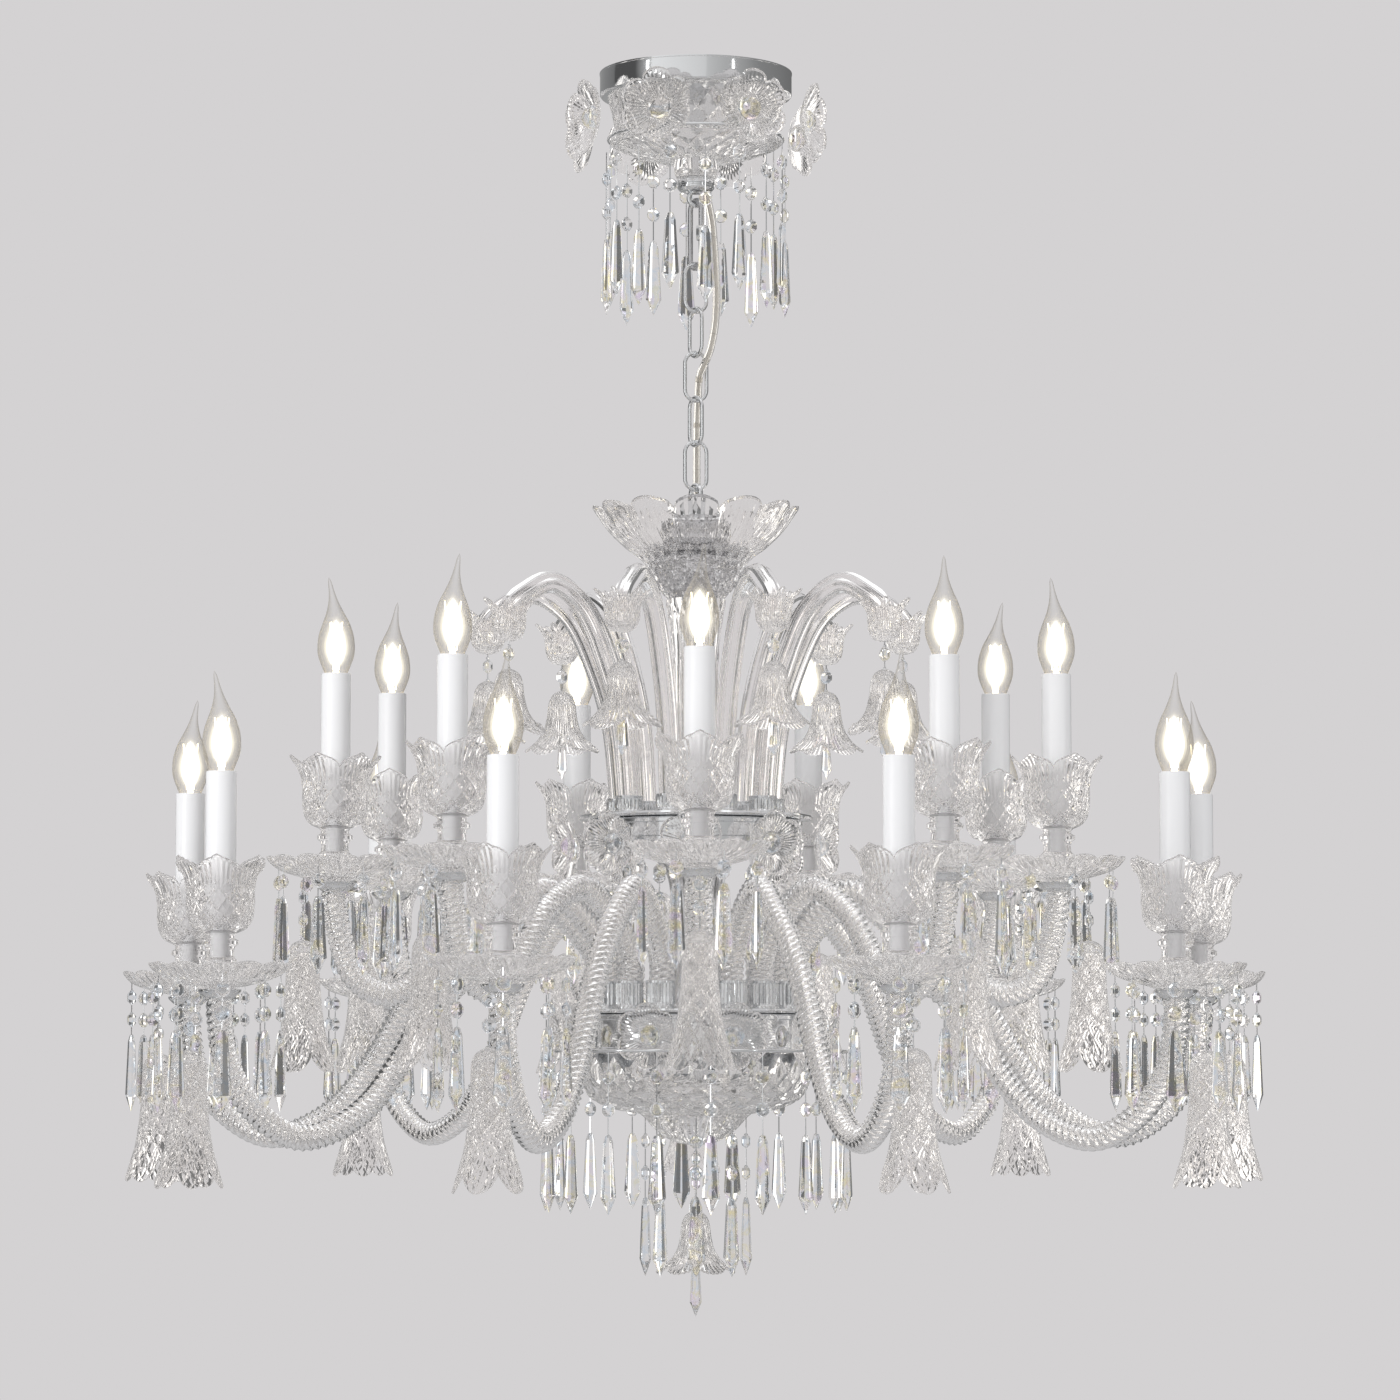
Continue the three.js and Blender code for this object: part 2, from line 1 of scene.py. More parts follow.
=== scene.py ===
# %% [markdown]
# # A crystal chandelier
# The chandelier hangs by a short chain from a chrome and cut-glass canopy. Two tiers of nine twisted
# glass arms carry candle lamps, and nine smooth glass crooks with hanging flowers stand above them.
# The CAD model gives every place and size as a fixed frame, and this script gives each piece the form
# and the finish that is seen: cut glass, prisms, chrome and lit candle bulbs.

# %% Frame
import json
import math

import bmesh
import bpy
from mathutils import Matrix, Vector
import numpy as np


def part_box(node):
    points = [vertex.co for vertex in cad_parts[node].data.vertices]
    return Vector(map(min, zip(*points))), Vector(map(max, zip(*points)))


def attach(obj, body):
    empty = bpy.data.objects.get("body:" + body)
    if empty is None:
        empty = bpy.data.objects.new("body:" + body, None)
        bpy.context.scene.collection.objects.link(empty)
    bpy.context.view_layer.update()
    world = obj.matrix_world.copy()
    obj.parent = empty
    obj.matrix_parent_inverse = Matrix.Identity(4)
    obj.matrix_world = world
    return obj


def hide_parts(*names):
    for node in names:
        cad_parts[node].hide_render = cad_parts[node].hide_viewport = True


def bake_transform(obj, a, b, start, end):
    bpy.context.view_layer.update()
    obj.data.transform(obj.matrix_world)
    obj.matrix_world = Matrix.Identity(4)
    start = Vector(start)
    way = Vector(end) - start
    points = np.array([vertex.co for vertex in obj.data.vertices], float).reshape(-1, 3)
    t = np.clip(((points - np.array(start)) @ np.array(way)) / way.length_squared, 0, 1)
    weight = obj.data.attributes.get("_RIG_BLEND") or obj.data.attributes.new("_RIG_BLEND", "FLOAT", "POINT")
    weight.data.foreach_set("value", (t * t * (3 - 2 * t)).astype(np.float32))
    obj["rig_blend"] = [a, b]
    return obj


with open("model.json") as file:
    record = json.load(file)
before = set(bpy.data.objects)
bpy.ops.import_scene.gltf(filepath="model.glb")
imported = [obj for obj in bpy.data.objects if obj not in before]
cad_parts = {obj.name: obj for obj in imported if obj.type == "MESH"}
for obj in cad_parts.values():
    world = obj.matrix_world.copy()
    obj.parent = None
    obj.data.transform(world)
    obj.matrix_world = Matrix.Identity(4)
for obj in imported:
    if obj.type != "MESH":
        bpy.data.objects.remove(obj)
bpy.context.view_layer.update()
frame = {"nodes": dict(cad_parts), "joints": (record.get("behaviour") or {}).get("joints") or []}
mm = 0.001
full_turn = 2 * math.pi

# %% [markdown]
# ## Camera
# The photograph was taken from the front, from well below the chandelier's middle, with a long lens.
# A long lens far away keeps the near and the far lamps at almost the same size. The camera stands at the
# height of the lower band and tilts up until the axis fills the frame, so no lens shift is needed.

# %% Camera
camera_distance = 4.62
camera_height = -0.966
aim_height = -0.597
lens = 126.6
sensor = 36

camera_data = bpy.data.cameras.new("camera")
camera_data.lens = lens
camera_data.sensor_width = sensor
camera = bpy.data.objects.new("camera", camera_data)
camera.location = (-0.045, -camera_distance, camera_height)
line_of_sight = Vector((0.004, 0, aim_height)) - camera.location
camera.rotation_euler = line_of_sight.to_track_quat("-Z", "Y").to_euler()
bpy.context.scene.collection.objects.link(camera)
bpy.context.scene.camera = camera

# %% [markdown]
# ## Light
# Crystal and chrome show what stands around them more than their own colour. Three soft lamps light the
# white sleeves, and stay out of sight of the glass. Boards stand round the object instead. One ring of them
# and two bright strips are seen only in reflections and shade the chrome. The others are seen only through
# glass: dark ones draw its edges and bright ones give it sparkle. A soft board overhead serves both. None
# of them shows itself, lights a matt surface or throws a shadow. Light crosses dozens of glass faces before
# it leaves, so the limit on bounces is high. With few bounces the rims of the glass turn black.

# %% World, floor, lamps and boards
backdrop = (0.658, 0.644, 0.651, 1)
middle_height = -0.7
world_light = 0.55
floor_height, floor_width = -5.6, 24
widest_board = 80
most_bounces = 64


def node_tree(owner):
    owner.use_nodes = True
    owner.node_tree.nodes.clear()
    return owner.node_tree.nodes, owner.node_tree.links


def setup_world():
    world = bpy.data.worlds.new("studio")
    bpy.context.scene.world = world
    nodes, links = node_tree(world)
    path = nodes.new("ShaderNodeLightPath")
    seen = nodes.new("ShaderNodeMath")
    seen.operation = "MAXIMUM"
    links.new(path.outputs["Is Camera Ray"], seen.inputs[0])
    through = nodes.new("ShaderNodeMath")
    through.operation = "MAXIMUM"
    links.new(path.outputs["Is Glossy Ray"], through.inputs[0])
    links.new(path.outputs["Is Transmission Ray"], through.inputs[1])
    links.new(through.outputs[0], seen.inputs[1])
    light = nodes.new("ShaderNodeBackground")
    light.inputs["Color"].default_value = (1, 1, 1, 1)
    light.inputs["Strength"].default_value = world_light
    background = nodes.new("ShaderNodeBackground")
    background.inputs["Color"].default_value = backdrop
    mix = nodes.new("ShaderNodeMixShader")
    links.new(seen.outputs[0], mix.inputs["Fac"])
    links.new(light.outputs[0], mix.inputs[1])
    links.new(background.outputs[0], mix.inputs[2])
    output = nodes.new("ShaderNodeOutputWorld")
    links.new(mix.outputs[0], output.inputs["Surface"])


def area_lamp(name, place, size, power):
    data = bpy.data.lights.new(name, "AREA")
    data.shape = "RECTANGLE"
    data.size, data.size_y = size
    data.energy = power
    lamp = bpy.data.objects.new(name, data)
    lamp.location = place
    aim = Vector((0, 0, middle_height)) - lamp.location
    lamp.rotation_euler = aim.to_track_quat("-Z", "Y").to_euler()
    bpy.context.scene.collection.objects.link(lamp)
    return lamp


def stage_panel(name, place, size, aim=None):
    """A flat stage board; without an aim it lies level."""
    board = bmesh.new()
    bmesh.ops.create_grid(board, x_segments=1, y_segments=1, size=0.5)
    bmesh.ops.scale(board, vec=(*size, 1), verts=board.verts)
    mesh = bpy.data.meshes.new(name)
    board.to_mesh(mesh)
    board.free()
    panel = bpy.data.objects.new(name, mesh)
    panel.location = place
    if aim is not None:
        panel.rotation_euler = (Vector(aim) - panel.location).to_track_quat("Z", "Y").to_euler()
    bpy.context.scene.collection.objects.link(panel)
    return panel


def plain_material(name, colour, roughness):
    material = bpy.data.materials.new(name)
    material.use_nodes = True
    shader = material.node_tree.nodes["Principled BSDF"]
    shader.inputs["Base Color"].default_value = colour
    shader.inputs["Roughness"].default_value = roughness
    return material


def glowing(name, first, last=None, width=1.0, colour=(1, 1, 1)):
    """A glowing paint; with two strengths it fades from one side of the board to the other."""
    material = bpy.data.materials.new(name)
    nodes, links = node_tree(material)
    emission = nodes.new("ShaderNodeEmission")
    emission.inputs["Color"].default_value = (*colour, 1)
    emission.inputs["Strength"].default_value = first
    if last is not None:
        coordinates = nodes.new("ShaderNodeTexCoord")
        parts = nodes.new("ShaderNodeSeparateXYZ")
        links.new(coordinates.outputs["Object"], parts.inputs[0])
        fade = nodes.new("ShaderNodeMapRange")
        ends = {"From Min": width / 2, "From Max": -width / 2, "To Min": first, "To Max": last}
        for label, value in ends.items():
            fade.inputs[label].default_value = value
        links.new(parts.outputs[0], fade.inputs["Value"])
        links.new(fade.outputs["Result"], emission.inputs["Strength"])
    output = nodes.new("ShaderNodeOutputMaterial")
    links.new(emission.outputs[0], output.inputs["Surface"])
    return material


def board(name, start, end, brightness, last=None, seen="reflected", tall=3.0, distance=2.6,
          colour=(1, 1, 1)):
    """An upright board from one azimuth to another, in degrees from the front, growing to the right."""
    middle, half = math.radians((start + end) / 2), math.radians((end - start) / 2)
    width = 2 * distance * math.tan(half)
    spot = (distance * math.sin(middle), -distance * math.cos(middle), middle_height)
    panel = stage_panel(name, spot, (width, tall), aim=(0, 0, middle_height))
    panel.data.materials.append(glowing(name + "_paint", brightness, last, width, colour))
    panel.visible_camera = panel.visible_diffuse = panel.visible_shadow = False
    panel.visible_glossy = seen == "reflected"
    panel.visible_transmission = seen == "through"


setup_world()
for lamp in (
    area_lamp("key_lamp", (-2.8, -2.4, 0.4), (1.6, 2.2), 92),
    area_lamp("fill_lamp", (3.0, -1.9, -0.2), (1.2, 2.4), 30),
    area_lamp("back_lamp", (0.8, 3.2, 0.5), (2.4, 1.2), 36),
):
    lamp.visible_glossy = lamp.visible_transmission = False
floor = stage_panel("floor", (0, 0, floor_height), (floor_width, floor_width))
floor.data.materials.append(plain_material("floor_paint", (0.72, 0.71, 0.715, 1), 0.6))

mirror_ring = [
    (-180, -112, 0.36, 0.18), (-112, -76, 0.09, 0.09), (-76, -54, 0.09, 0.60), (-54, 12, 0.92, 0.70),
    (12, 76, 0.60, 0.26), (76, 180, 0.26, 0.14),
]
for start, end, first, last in mirror_ring:
    parts = 2 if end - start > widest_board else 1
    for i in range(parts):
        share = [i / parts, (i + 1) / parts]
        sides = [start + (end - start) * s for s in share]
        board("mirror_board", *sides, *(first + (last - first) * s for s in share))
board("left_strip", -60, -57.6, 4.5, distance=2.5, tall=2.2)
board("right_strip", 43, 44.8, 3.5, distance=2.5, tall=2.2)
warm_white = (1.0, 0.975, 0.94)
for start, end, brightness in (
    (-168, -163, 0.14), (-154, -146, 0.22), (-136, -129, 0.18), (-116, -104, 0.26), (-84, -70, 0.14),
    (163, 167, 0.14), (144, 148, 0.12), (123, 129, 0.26), (97, 104, 0.16), (60, 72, 0.24),
):
    board("dark_board", start, end, brightness, seen="through", distance=2.4)
for start, end in ((-160, -156), (-124, -118), (-96, -88), (152, 161), (134, 142), (110, 119), (80, 92)):
    board("bright_board", start, end, 1.7, seen="through", distance=2.4, colour=warm_white)
overhead = stage_panel("overhead_soft", (0, -0.2, 1.3), (2.0, 2.0))
overhead.data.materials.append(glowing("overhead_paint", 1.3))
overhead.visible_camera = overhead.visible_diffuse = overhead.visible_shadow = False

scene = bpy.context.scene
scene.view_settings.view_transform = "Standard"
scene.cycles.max_bounces = scene.cycles.transmission_bounces = scene.cycles.glossy_bounces = most_bounces
scene.cycles.transparent_max_bounces = 32

# %% [markdown]
# ## Turned shapes
# Nearly every glass and metal piece is round, so it starts as an outline that is spun round the upright
# axis. The outline is given by a few points, and a curve through them makes it smooth. Each point
# remembers how far along the outline it lies, and with the angle round the axis that gives the UV map
# that cut patterns follow.

# %% Turned shapes
def smooth(points, steps=4):
    """More points on the Catmull-Rom curve through these."""
    padded = [points[0], *points, points[-1]]
    result = []
    for a, b, c, d in zip(padded, padded[1:], padded[2:], padded[3:]):
        for step in range(steps):
            t = step / steps
            result.append(tuple(
                0.5 * (2 * q + (r - p) * t + (2 * p - 5 * q + 4 * r - s) * t**2
                       + (3 * q - p - 3 * r + s) * t**3)
                for p, q, r, s in zip(a, b, c, d)
            ))
    return [*result, tuple(points[-1])]


def turned(outline, sides):
    """A bmesh of an outline, [radius, height] in millimetres, spun round Z."""
    shape = bmesh.new()
    along = shape.verts.layers.float.new("along")
    rim = []
    for i, (radius, height) in enumerate(outline):
        vert = shape.verts.new((max(radius, 0) * mm, 0, height * mm))
        vert[along] = i / (len(outline) - 1)
        rim.append(vert)
    edges = [shape.edges.new(pair) for pair in zip(rim, rim[1:])]
    bmesh.ops.spin(
        shape, geom=rim + edges, cent=(0, 0, 0), axis=(0, 0, 1), angle=full_turn, steps=sides, use_merge=True
    )
    bmesh.ops.remove_doubles(shape, verts=shape.verts, dist=1e-6)
    bmesh.ops.recalc_face_normals(shape, faces=shape.faces)
    return shape


def ring_section(radius, wire, steps):
    """The outline of a ring of round wire."""
    angles = [full_turn * i / steps for i in range(steps + 1)]
    return [(radius + wire * math.cos(a), wire * math.sin(a)) for a in angles]


def reshape(shape, change):
    """Moves each vertex to the radius, angle and height that change(radius, angle, height, along) gives."""
    along = shape.verts.layers.float["along"]
    for vert in shape.verts:
        x, y, z = vert.co / mm
        radius, angle, height = change(math.hypot(x, y), math.atan2(y, x), z, vert[along])
        vert.co = Vector((radius * math.cos(angle), radius * math.sin(angle), height)) * mm
    return shape


def unwrap(shape):
    """UV map: U goes once round the axis, V from the outline's start to its end."""
    uv = shape.loops.layers.uv.new("around")
    along = shape.verts.layers.float["along"]
    for face in shape.faces:
        centre = face.calc_center_median()
        middle = math.atan2(centre.y, centre.x)
        for loop in face.loops:
            x, y, _ = loop.vert.co
            angle = math.atan2(y, x) if math.hypot(x, y) > 1e-6 else middle
            angle += full_turn * round((middle - angle) / full_turn)
            loop[uv].uv = (angle / full_turn, loop.vert[along])
    return shape


def diamond_cut(shape, sides, rows, low, high, period, depth, width=1):
    """Cuts crossing V grooves, `period` columns apart, into the rows from low to high."""
    along = shape.verts.layers.float["along"]
    shape.normal_update()

    def lift(vert):
        """0 in a groove, 1 on the land between grooves, None outside the rows."""
        row = round(vert[along] * rows)
        if not low <= row <= high:
            return None
        column = round(math.atan2(vert.co.y, vert.co.x) / full_turn * sides)
        steps = (column + row - low, column - row + low)
        return min(1, *(min(step % period, -step % period) / width for step in steps))

    lifts = {vert: lift(vert) for vert in shape.verts}
    for face in list(shape.faces):
        corners = list(face.verts)
        if len(corners) == 4 and all(lifts[vert] is not None for vert in corners):
            for a, b in (corners[0::2], corners[1::2]):
                if lifts[a] == 0 and lifts[b] == 0:
                    bmesh.utils.face_split(face, a, b)
                    break
    for vert, share in lifts.items():
        if share is not None:
            vert.co -= vert.normal * depth * mm * (1 - share)
    return shape


def rib(angle, sides, depth):
    """Every second column stands out by depth and the others sink by it: sides / 2 ribs."""
    return depth if round(angle / full_turn * sides) % 2 else -depth


def as_mesh(shape, name, smooth_angle=40):
    if "around" not in shape.loops.layers.uv and "along" in shape.verts.layers.float:
        unwrap(shape)
    mesh = bpy.data.meshes.new(name)
    shape.to_mesh(mesh)
    shape.free()
    if smooth_angle:
        mesh.shade_smooth()
        mesh.set_sharp_from_angle(angle=math.radians(smooth_angle))
    else:
        mesh.shade_flat()
    return mesh


def merged(name, meshes):
    """One mesh of several (mesh, matrix) pairs."""
    whole = bmesh.new()
    for mesh, matrix in meshes:
        copy = mesh.copy()
        copy.transform(matrix)
        whole.from_mesh(copy)
        bpy.data.meshes.remove(copy)
    result = bpy.data.meshes.new(name)
    whole.to_mesh(result)
    whole.free()
    return result


def turn(degrees, axis="Z"):
    return Matrix.Rotation(math.radians(degrees), 4, axis)


def shift(x=0, y=0, z=0):
    return Matrix.Translation(Vector((x, y, z)) * mm)


def out_at(degrees, radius=0, height=0):
    """The place at a radius and height that faces out; degrees are from the front, growing to the right."""
    return turn(degrees - 90) @ shift(x=radius, z=height)


placed = []


def place(name, mesh, finishes, body, slot, nodes=(), matrix=Matrix.Identity(4)):
    """A finished piece, its place in its mesh, riding on a body and standing for CAD nodes."""
    own = mesh.copy()
    own.name = name
    own.transform(matrix)
    own.materials.clear()
    for finish in finishes:
        own.materials.append(finish)
    piece = bpy.data.objects.new(name, own)
    scene.collection.objects.link(piece)
    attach(piece, body)
    if nodes:
        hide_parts(*nodes)
    placed.append(piece)
    return piece


# %% [markdown]
# ## Relief groups
# Cut glass gets its sparkle from small slanting faces. The large grooves and ribs are cut into the meshes.
# Two node groups give the fine ones as heights for a Bump node: crossed V-shaped cuts and straight ribs.
# Both follow the UV map, so they run round each piece wherever it hangs.

# %% Node helpers and relief groups
def new_group(name, inputs, outputs):
    group = bpy.data.node_groups.new(name, "ShaderNodeTree")
    for label, default in inputs:
        socket = group.interface.new_socket(label, in_out="INPUT", socket_type="NodeSocketFloat")
        socket.default_value = default
    for label in outputs:
        group.interface.new_socket(label, in_out="OUTPUT", socket_type="NodeSocketFloat")
    return group, group.nodes.new("NodeGroupInput"), group.nodes.new("NodeGroupOutput")


def maths(tree, operation, *values):
    """A Math node; each value is a socket or a number."""
    node = tree.nodes.new("ShaderNodeMath")
    node.operation = operation
    for i, value in enumerate(values):
        if isinstance(value, (int, float)):
            node.inputs[i].default_value = value
        else:
            tree.links.new(value, node.inputs[i])
    return node.outputs[0]


def uv_parts(tree):
    coordinates = tree.nodes.new("ShaderNodeUVMap")
    coordinates.uv_map = "around"
    parts = tree.nodes.new("ShaderNodeSeparateXYZ")
    tree.links.new(coordinates.outputs[0], parts.inputs[0])
    return parts.outputs[0], parts.outputs[1]


def wave(tree, phase):
    """0 in the middle of a V-shaped cut, rising straight to 1 halfway to the next."""
    return maths(tree, "PINGPONG", phase, 0.5)


def between(tree, v, given):
    """1 where V is between the group's From and To."""
    above = maths(tree, "GREATER_THAN", v, given.outputs["From"])
    return maths(tree, "MULTIPLY", above, maths(tree, "LESS_THAN", v, given.outputs["To"]))


relief_inputs = [("Around", 12), ("Along", 6), ("Width", 0.15), ("From", -1), ("To", 2)]


def make_relief(name, crossed):
    """Height of V-cuts: Around of them round the piece, leaning by Along turns up it, one way or both."""
    group, given, out = new_group(name, relief_inputs, ["Height"])
    u, v = uv_parts(group)
    across = maths(group, "MULTIPLY", u, given.outputs["Around"])
    up = maths(group, "MULTIPLY", v, given.outputs["Along"])
    depth = wave(group, maths(group, "ADD", across, up))
    if crossed:
        depth = maths(group, "MINIMUM", depth, wave(group, maths(group, "SUBTRACT", across, up)))
    depth = maths(group, "MINIMUM", depth, given.outputs["Width"])
    group.links.new(maths(group, "MULTIPLY", depth, between(group, v, given)), out.inputs["Height"])
    return group


cross_cuts = make_relief("cross_cuts", crossed=True)
ribs = make_relief("ribs", crossed=False)

# %% [markdown]
# ## Glass finishes
# Crystal is a clear dielectric with a slight warm tint. All the glass shares one recipe: full transmission,
# a low and slightly uneven roughness, and a relief through the normal. The finishes differ in the relief:
# crossed cuts, ribs, the fine lines of drawn rope glass, or only the slight waviness of pressed glass.

# %% Glass
crystal_tint = (0.972, 0.962, 0.955, 1)


def new_material(name):
    material = bpy.data.materials.new(name)
    material.use_nodes = True
    return material, material.node_tree, material.node_tree.nodes["Principled BSDF"]


def noise(tree, scale, detail=2.0):
    coordinates = tree.nodes.new("ShaderNodeTexCoord")
    texture = tree.nodes.new("ShaderNodeTexNoise")
    texture.inputs["Scale"].default_value = scale
    texture.inputs["Detail"].default_value = detail
    tree.links.new(coordinates.outputs["Object"], texture.inputs["Vector"])
    return texture.outputs["Fac"]


def spread(tree, value, low, high):
    node = tree.nodes.new("ShaderNodeMapRange")
    node.inputs["To Min"].default_value = low
    node.inputs["To Max"].default_value = high
    tree.links.new(value, node.inputs["Value"])
    return node.outputs["Result"]


def bump(tree, height, distance, under=None):
    node = tree.nodes.new("ShaderNodeBump")
    node.inputs["Distance"].default_value = distance * mm
    node.inputs["Strength"].default_value = 1
    tree.links.new(height, node.inputs["Height"])
    if under is not None:
        tree.links.new(under, node.inputs["Normal"])
    return node.outputs["Normal"]


def cut(tree, group, around, along, depth, width=0.5, low=-1.0, high=2.0, under=None):
    """A relief group laid on the surface as a bump; depth is in millimetres for a height of 1."""
    relief = tree.nodes.new("ShaderNodeGroup")
    relief.node_tree = group
    for label, value in zip(("Around", "Along", "Width", "From", "To"), (around, along, width, low, high)):
        relief.inputs[label].default_value = value
    return bump(tree, relief.outputs["Height"], depth, under=under)


def let_lamps_through(tree, shader, solid=0.25):
    """Shadow rays pass, so that the lamps light what stands behind and inside the glass."""
    path = tree.nodes.new("ShaderNodeLightPath")
    tree.links.new(spread(tree, path.outputs["Is Shadow Ray"], 1, solid), shader.inputs["Alpha"])


def glass(name, reliefs=(), tint=crystal_tint, roughness=(0.01, 0.06), waviness=0.12, ior=1.5):
    """A crystal finish. Each relief is (group, around, along, depth, width, lowest and highest V)."""
    material, tree, shader = new_material(name)
    shader.inputs["Base Color"].default_value = tint
    shader.inputs["Transmission Weight"].default_value = 1
    shader.inputs["IOR"].default_value = ior
    grain = noise(tree, 90)
    tree.links.new(spread(tree, grain, *roughness), shader.inputs["Roughness"])
    normal = bump(tree, grain, waviness)
    for relief in reliefs:
        normal = cut(tree, *relief, under=normal)
    tree.links.new(normal, shader.inputs["Normal"])
    let_lamps_through(tree, shader)
    return material


clear_glass = glass("pressed_glass")
cup_glass = glass("cut_cup_glass", [
    (cross_cuts, 24, 12, 2.2, 0.14, 0.25, 0.52),
])
petal_glass = glass("ribbed_petal_glass", [(ribs, 48, 0, 0.8)])
saucer_glass = glass("ribbed_saucer_glass", [(ribs, 40, 3, 1.3)])
bowl_glass = glass("cut_bowl_glass", tint=(0.93, 0.925, 0.92, 1))
rope_glass = glass("rope_glass", [(ribs, 150, 2, 1.1)], tint=(0.965, 0.948, 0.932, 1))

# %% [markdown]
# ## Prisms, silvered glass and metal
# Prisms split light into faint spectral colours. These glints are painted: a stepped noise paints very pale
# blue, yellow and violet tints into the base colour of some faces. The silvered bowls are metal behind cut
# glass. The chrome has a mirror polish with faint wipe marks, which show as a change of roughness.

# %% Prisms, silvered glass and metal
def colour_steps(tree, value, stops):
    ramp = tree.nodes.new("ShaderNodeValToRGB")
    ramp.color_ramp.interpolation = "LINEAR"
    points = ramp.color_ramp.elements
    while len(points) < len(stops):
        points.new(0.5)
    for point, (position, colour) in zip(points, stops):
        point.position = position
        point.color = (*colour, 1)
    tree.links.new(value, ramp.inputs["Fac"])
    return ramp.outputs["Color"]


def make_prism_glass():
    material = glass("prism_glass", roughness=(0.0, 0.02), waviness=0.02)
    tree = material.node_tree
    shader = tree.nodes["Principled BSDF"]
    # Painted spectral glints: a stepped noise paints pale blue, yellow and violet patches into the prism's
    # base colour.
    painted_glint_noise = noise(tree, 55, detail=1)
    clear, glint_blue, glint_yellow, glint_violet = (0.98, 0.97, 0.96), (0.80, 0.90, 1.0), (1.0, 0.93, 0.62), (0.92, 0.82, 1.0)
    tint = colour_steps(tree, painted_glint_noise, [
        (0.0, clear), (0.40, clear), (0.47, glint_blue), (0.50, clear),
        (0.56, clear), (0.60, glint_yellow), (0.64, clear), (0.70, glint_violet),
    ])
    tree.links.new(tint, shader.inputs["Base Color"])
    return material


def metal(name, colour, roughness, relief=None):
    material, tree, shader = new_material(name)
    shader.inputs["Base Color"].default_value = (*colour, 1)
    shader.inputs["Metallic"].default_value = 1
    wipe = noise(tree, 35, detail=6)
    tree.links.new(spread(tree, wipe, *roughness), shader.inputs["Roughness"])
    if relief:
        tree.links.new(cut(tree, *relief), shader.inputs["Normal"])
    return material


prism_glass = make_prism_glass()
chrome = metal("polished_chrome", (0.80, 0.81, 0.82), (0.04, 0.14))
steel = metal("plated_steel", (0.62, 0.62, 0.63), (0.22, 0.36))
silvered_glass = metal("silvered_cut_glass", (0.66, 0.66, 0.67), (0.05, 0.18), (cross_cuts, 16, 5, 4.0))

# %% [markdown]
# ## Candle sleeves, bulbs and cable
# The candle sleeves are gloss white plastic. A bulb is a thin clear envelope: seen from the side its
# edge gathers light and looks denser, which Layer Weight gives to its alpha. Inside, four filaments
# glow so brightly that they flood the middle of the bulb with white. Four thin shells, one in the other
# and each paler than the next, give that flood of light a soft edge from every side.

# %% Sleeves, bulbs and cable
def make_candle_white():
    material, tree, shader = new_material("candle_sleeve_white")
    shader.inputs["Base Color"].default_value = (0.86, 0.86, 0.875, 1)
    shader.inputs["Coat Weight"].default_value = 0.4
    speck = noise(tree, 60)
    tree.links.new(spread(tree, speck, 0.18, 0.28), shader.inputs["Roughness"])
    tree.links.new(bump(tree, speck, 0.05), shader.inputs["Normal"])
    return material


def make_bulb_glass():
    material, tree, shader = new_material("bulb_envelope")
    shader.inputs["Base Color"].default_value = (0.42, 0.39, 0.34, 1)
    shader.inputs["Roughness"].default_value = 0.03
    facing = tree.nodes.new("ShaderNodeLayerWeight")
    facing.inputs["Blend"].default_value = 0.42
    tree.links.new(spread(tree, facing.outputs["Facing"], 0.04, 0.85), shader.inputs["Alpha"])
    ripple = noise(tree, 40)
    tree.links.new(bump(tree, ripple, 0.1), shader.inputs["Normal"])
    return material


def make_light(name, colour, strength, alpha=1.0):
    """A glowing finish, a little brighter at the middle of the piece's UV map than at its ends."""
    material, tree, shader = new_material(name)
    shader.inputs["Base Color"].default_value = (0, 0, 0, 1)
    shader.inputs["Specular IOR Level"].default_value = 0
    shader.inputs["Emission Color"].default_value = (*colour, 1)
    shader.inputs["Emission Strength"].default_value = strength
    if alpha < 1:
        _, v = uv_parts(tree)
        middle = maths(tree, "MULTIPLY", wave(tree, v), 2 * alpha)
        tree.links.new(maths(tree, "MINIMUM", middle, alpha), shader.inputs["Alpha"])
    return material


candle_white = make_candle_white()
bulb_glass = make_bulb_glass()
filament_light = make_light("filament_light", (1.0, 0.84, 0.52), 5)
glow_lights = [
    make_light(f"bulb_glow_{i + 1}", colour, strength, alpha)
    for i, (colour, strength, alpha) in enumerate([
        ((1.0, 0.99, 0.94), 3.0, 1.0), ((1.0, 0.97, 0.86), 2.0, 0.62),
        ((1.0, 0.94, 0.78), 1.4, 0.34), ((1.0, 0.91, 0.72), 1.1, 0.16),
    ])
]
cable_sheath = glass("clear_cable_sheath", tint=(0.95, 0.93, 0.89, 1), roughness=(0.1, 0.2), ior=1.35)
cable_core = metal("tinned_cable_core", (0.72, 0.70, 0.66), (0.3, 0.5))

# %% [markdown]
# ## Strings of drops
# A string is a hung chain of one or two flat octagon beads and a long pointed prism, joined by bow pins
# of wire. There are about two hundred, so each is made of few faces. The faces are real facets with
# flat shading, because a prism's look is its flat faces.

# %% Beads, prisms and pins
bead_size = 14
bead_depth = 8
prism_width = 17
prism_depth = 11
prism_length = 73
pin_radius = 0.55
eye_radius = 1.3


def faceted(outline, sides, thin=1.0, turn_by=0.0):
    """A few-sided turned shape with flat faces, made thin along Y."""
    shape = turned(outline, sides)
    bmesh.ops.rotate(shape, verts=shape.verts, matrix=Matrix.Rotation(turn_by, 3, "Z"))
    bmesh.ops.scale(shape, vec=(1, thin, 1), verts=shape.verts)
    return shape


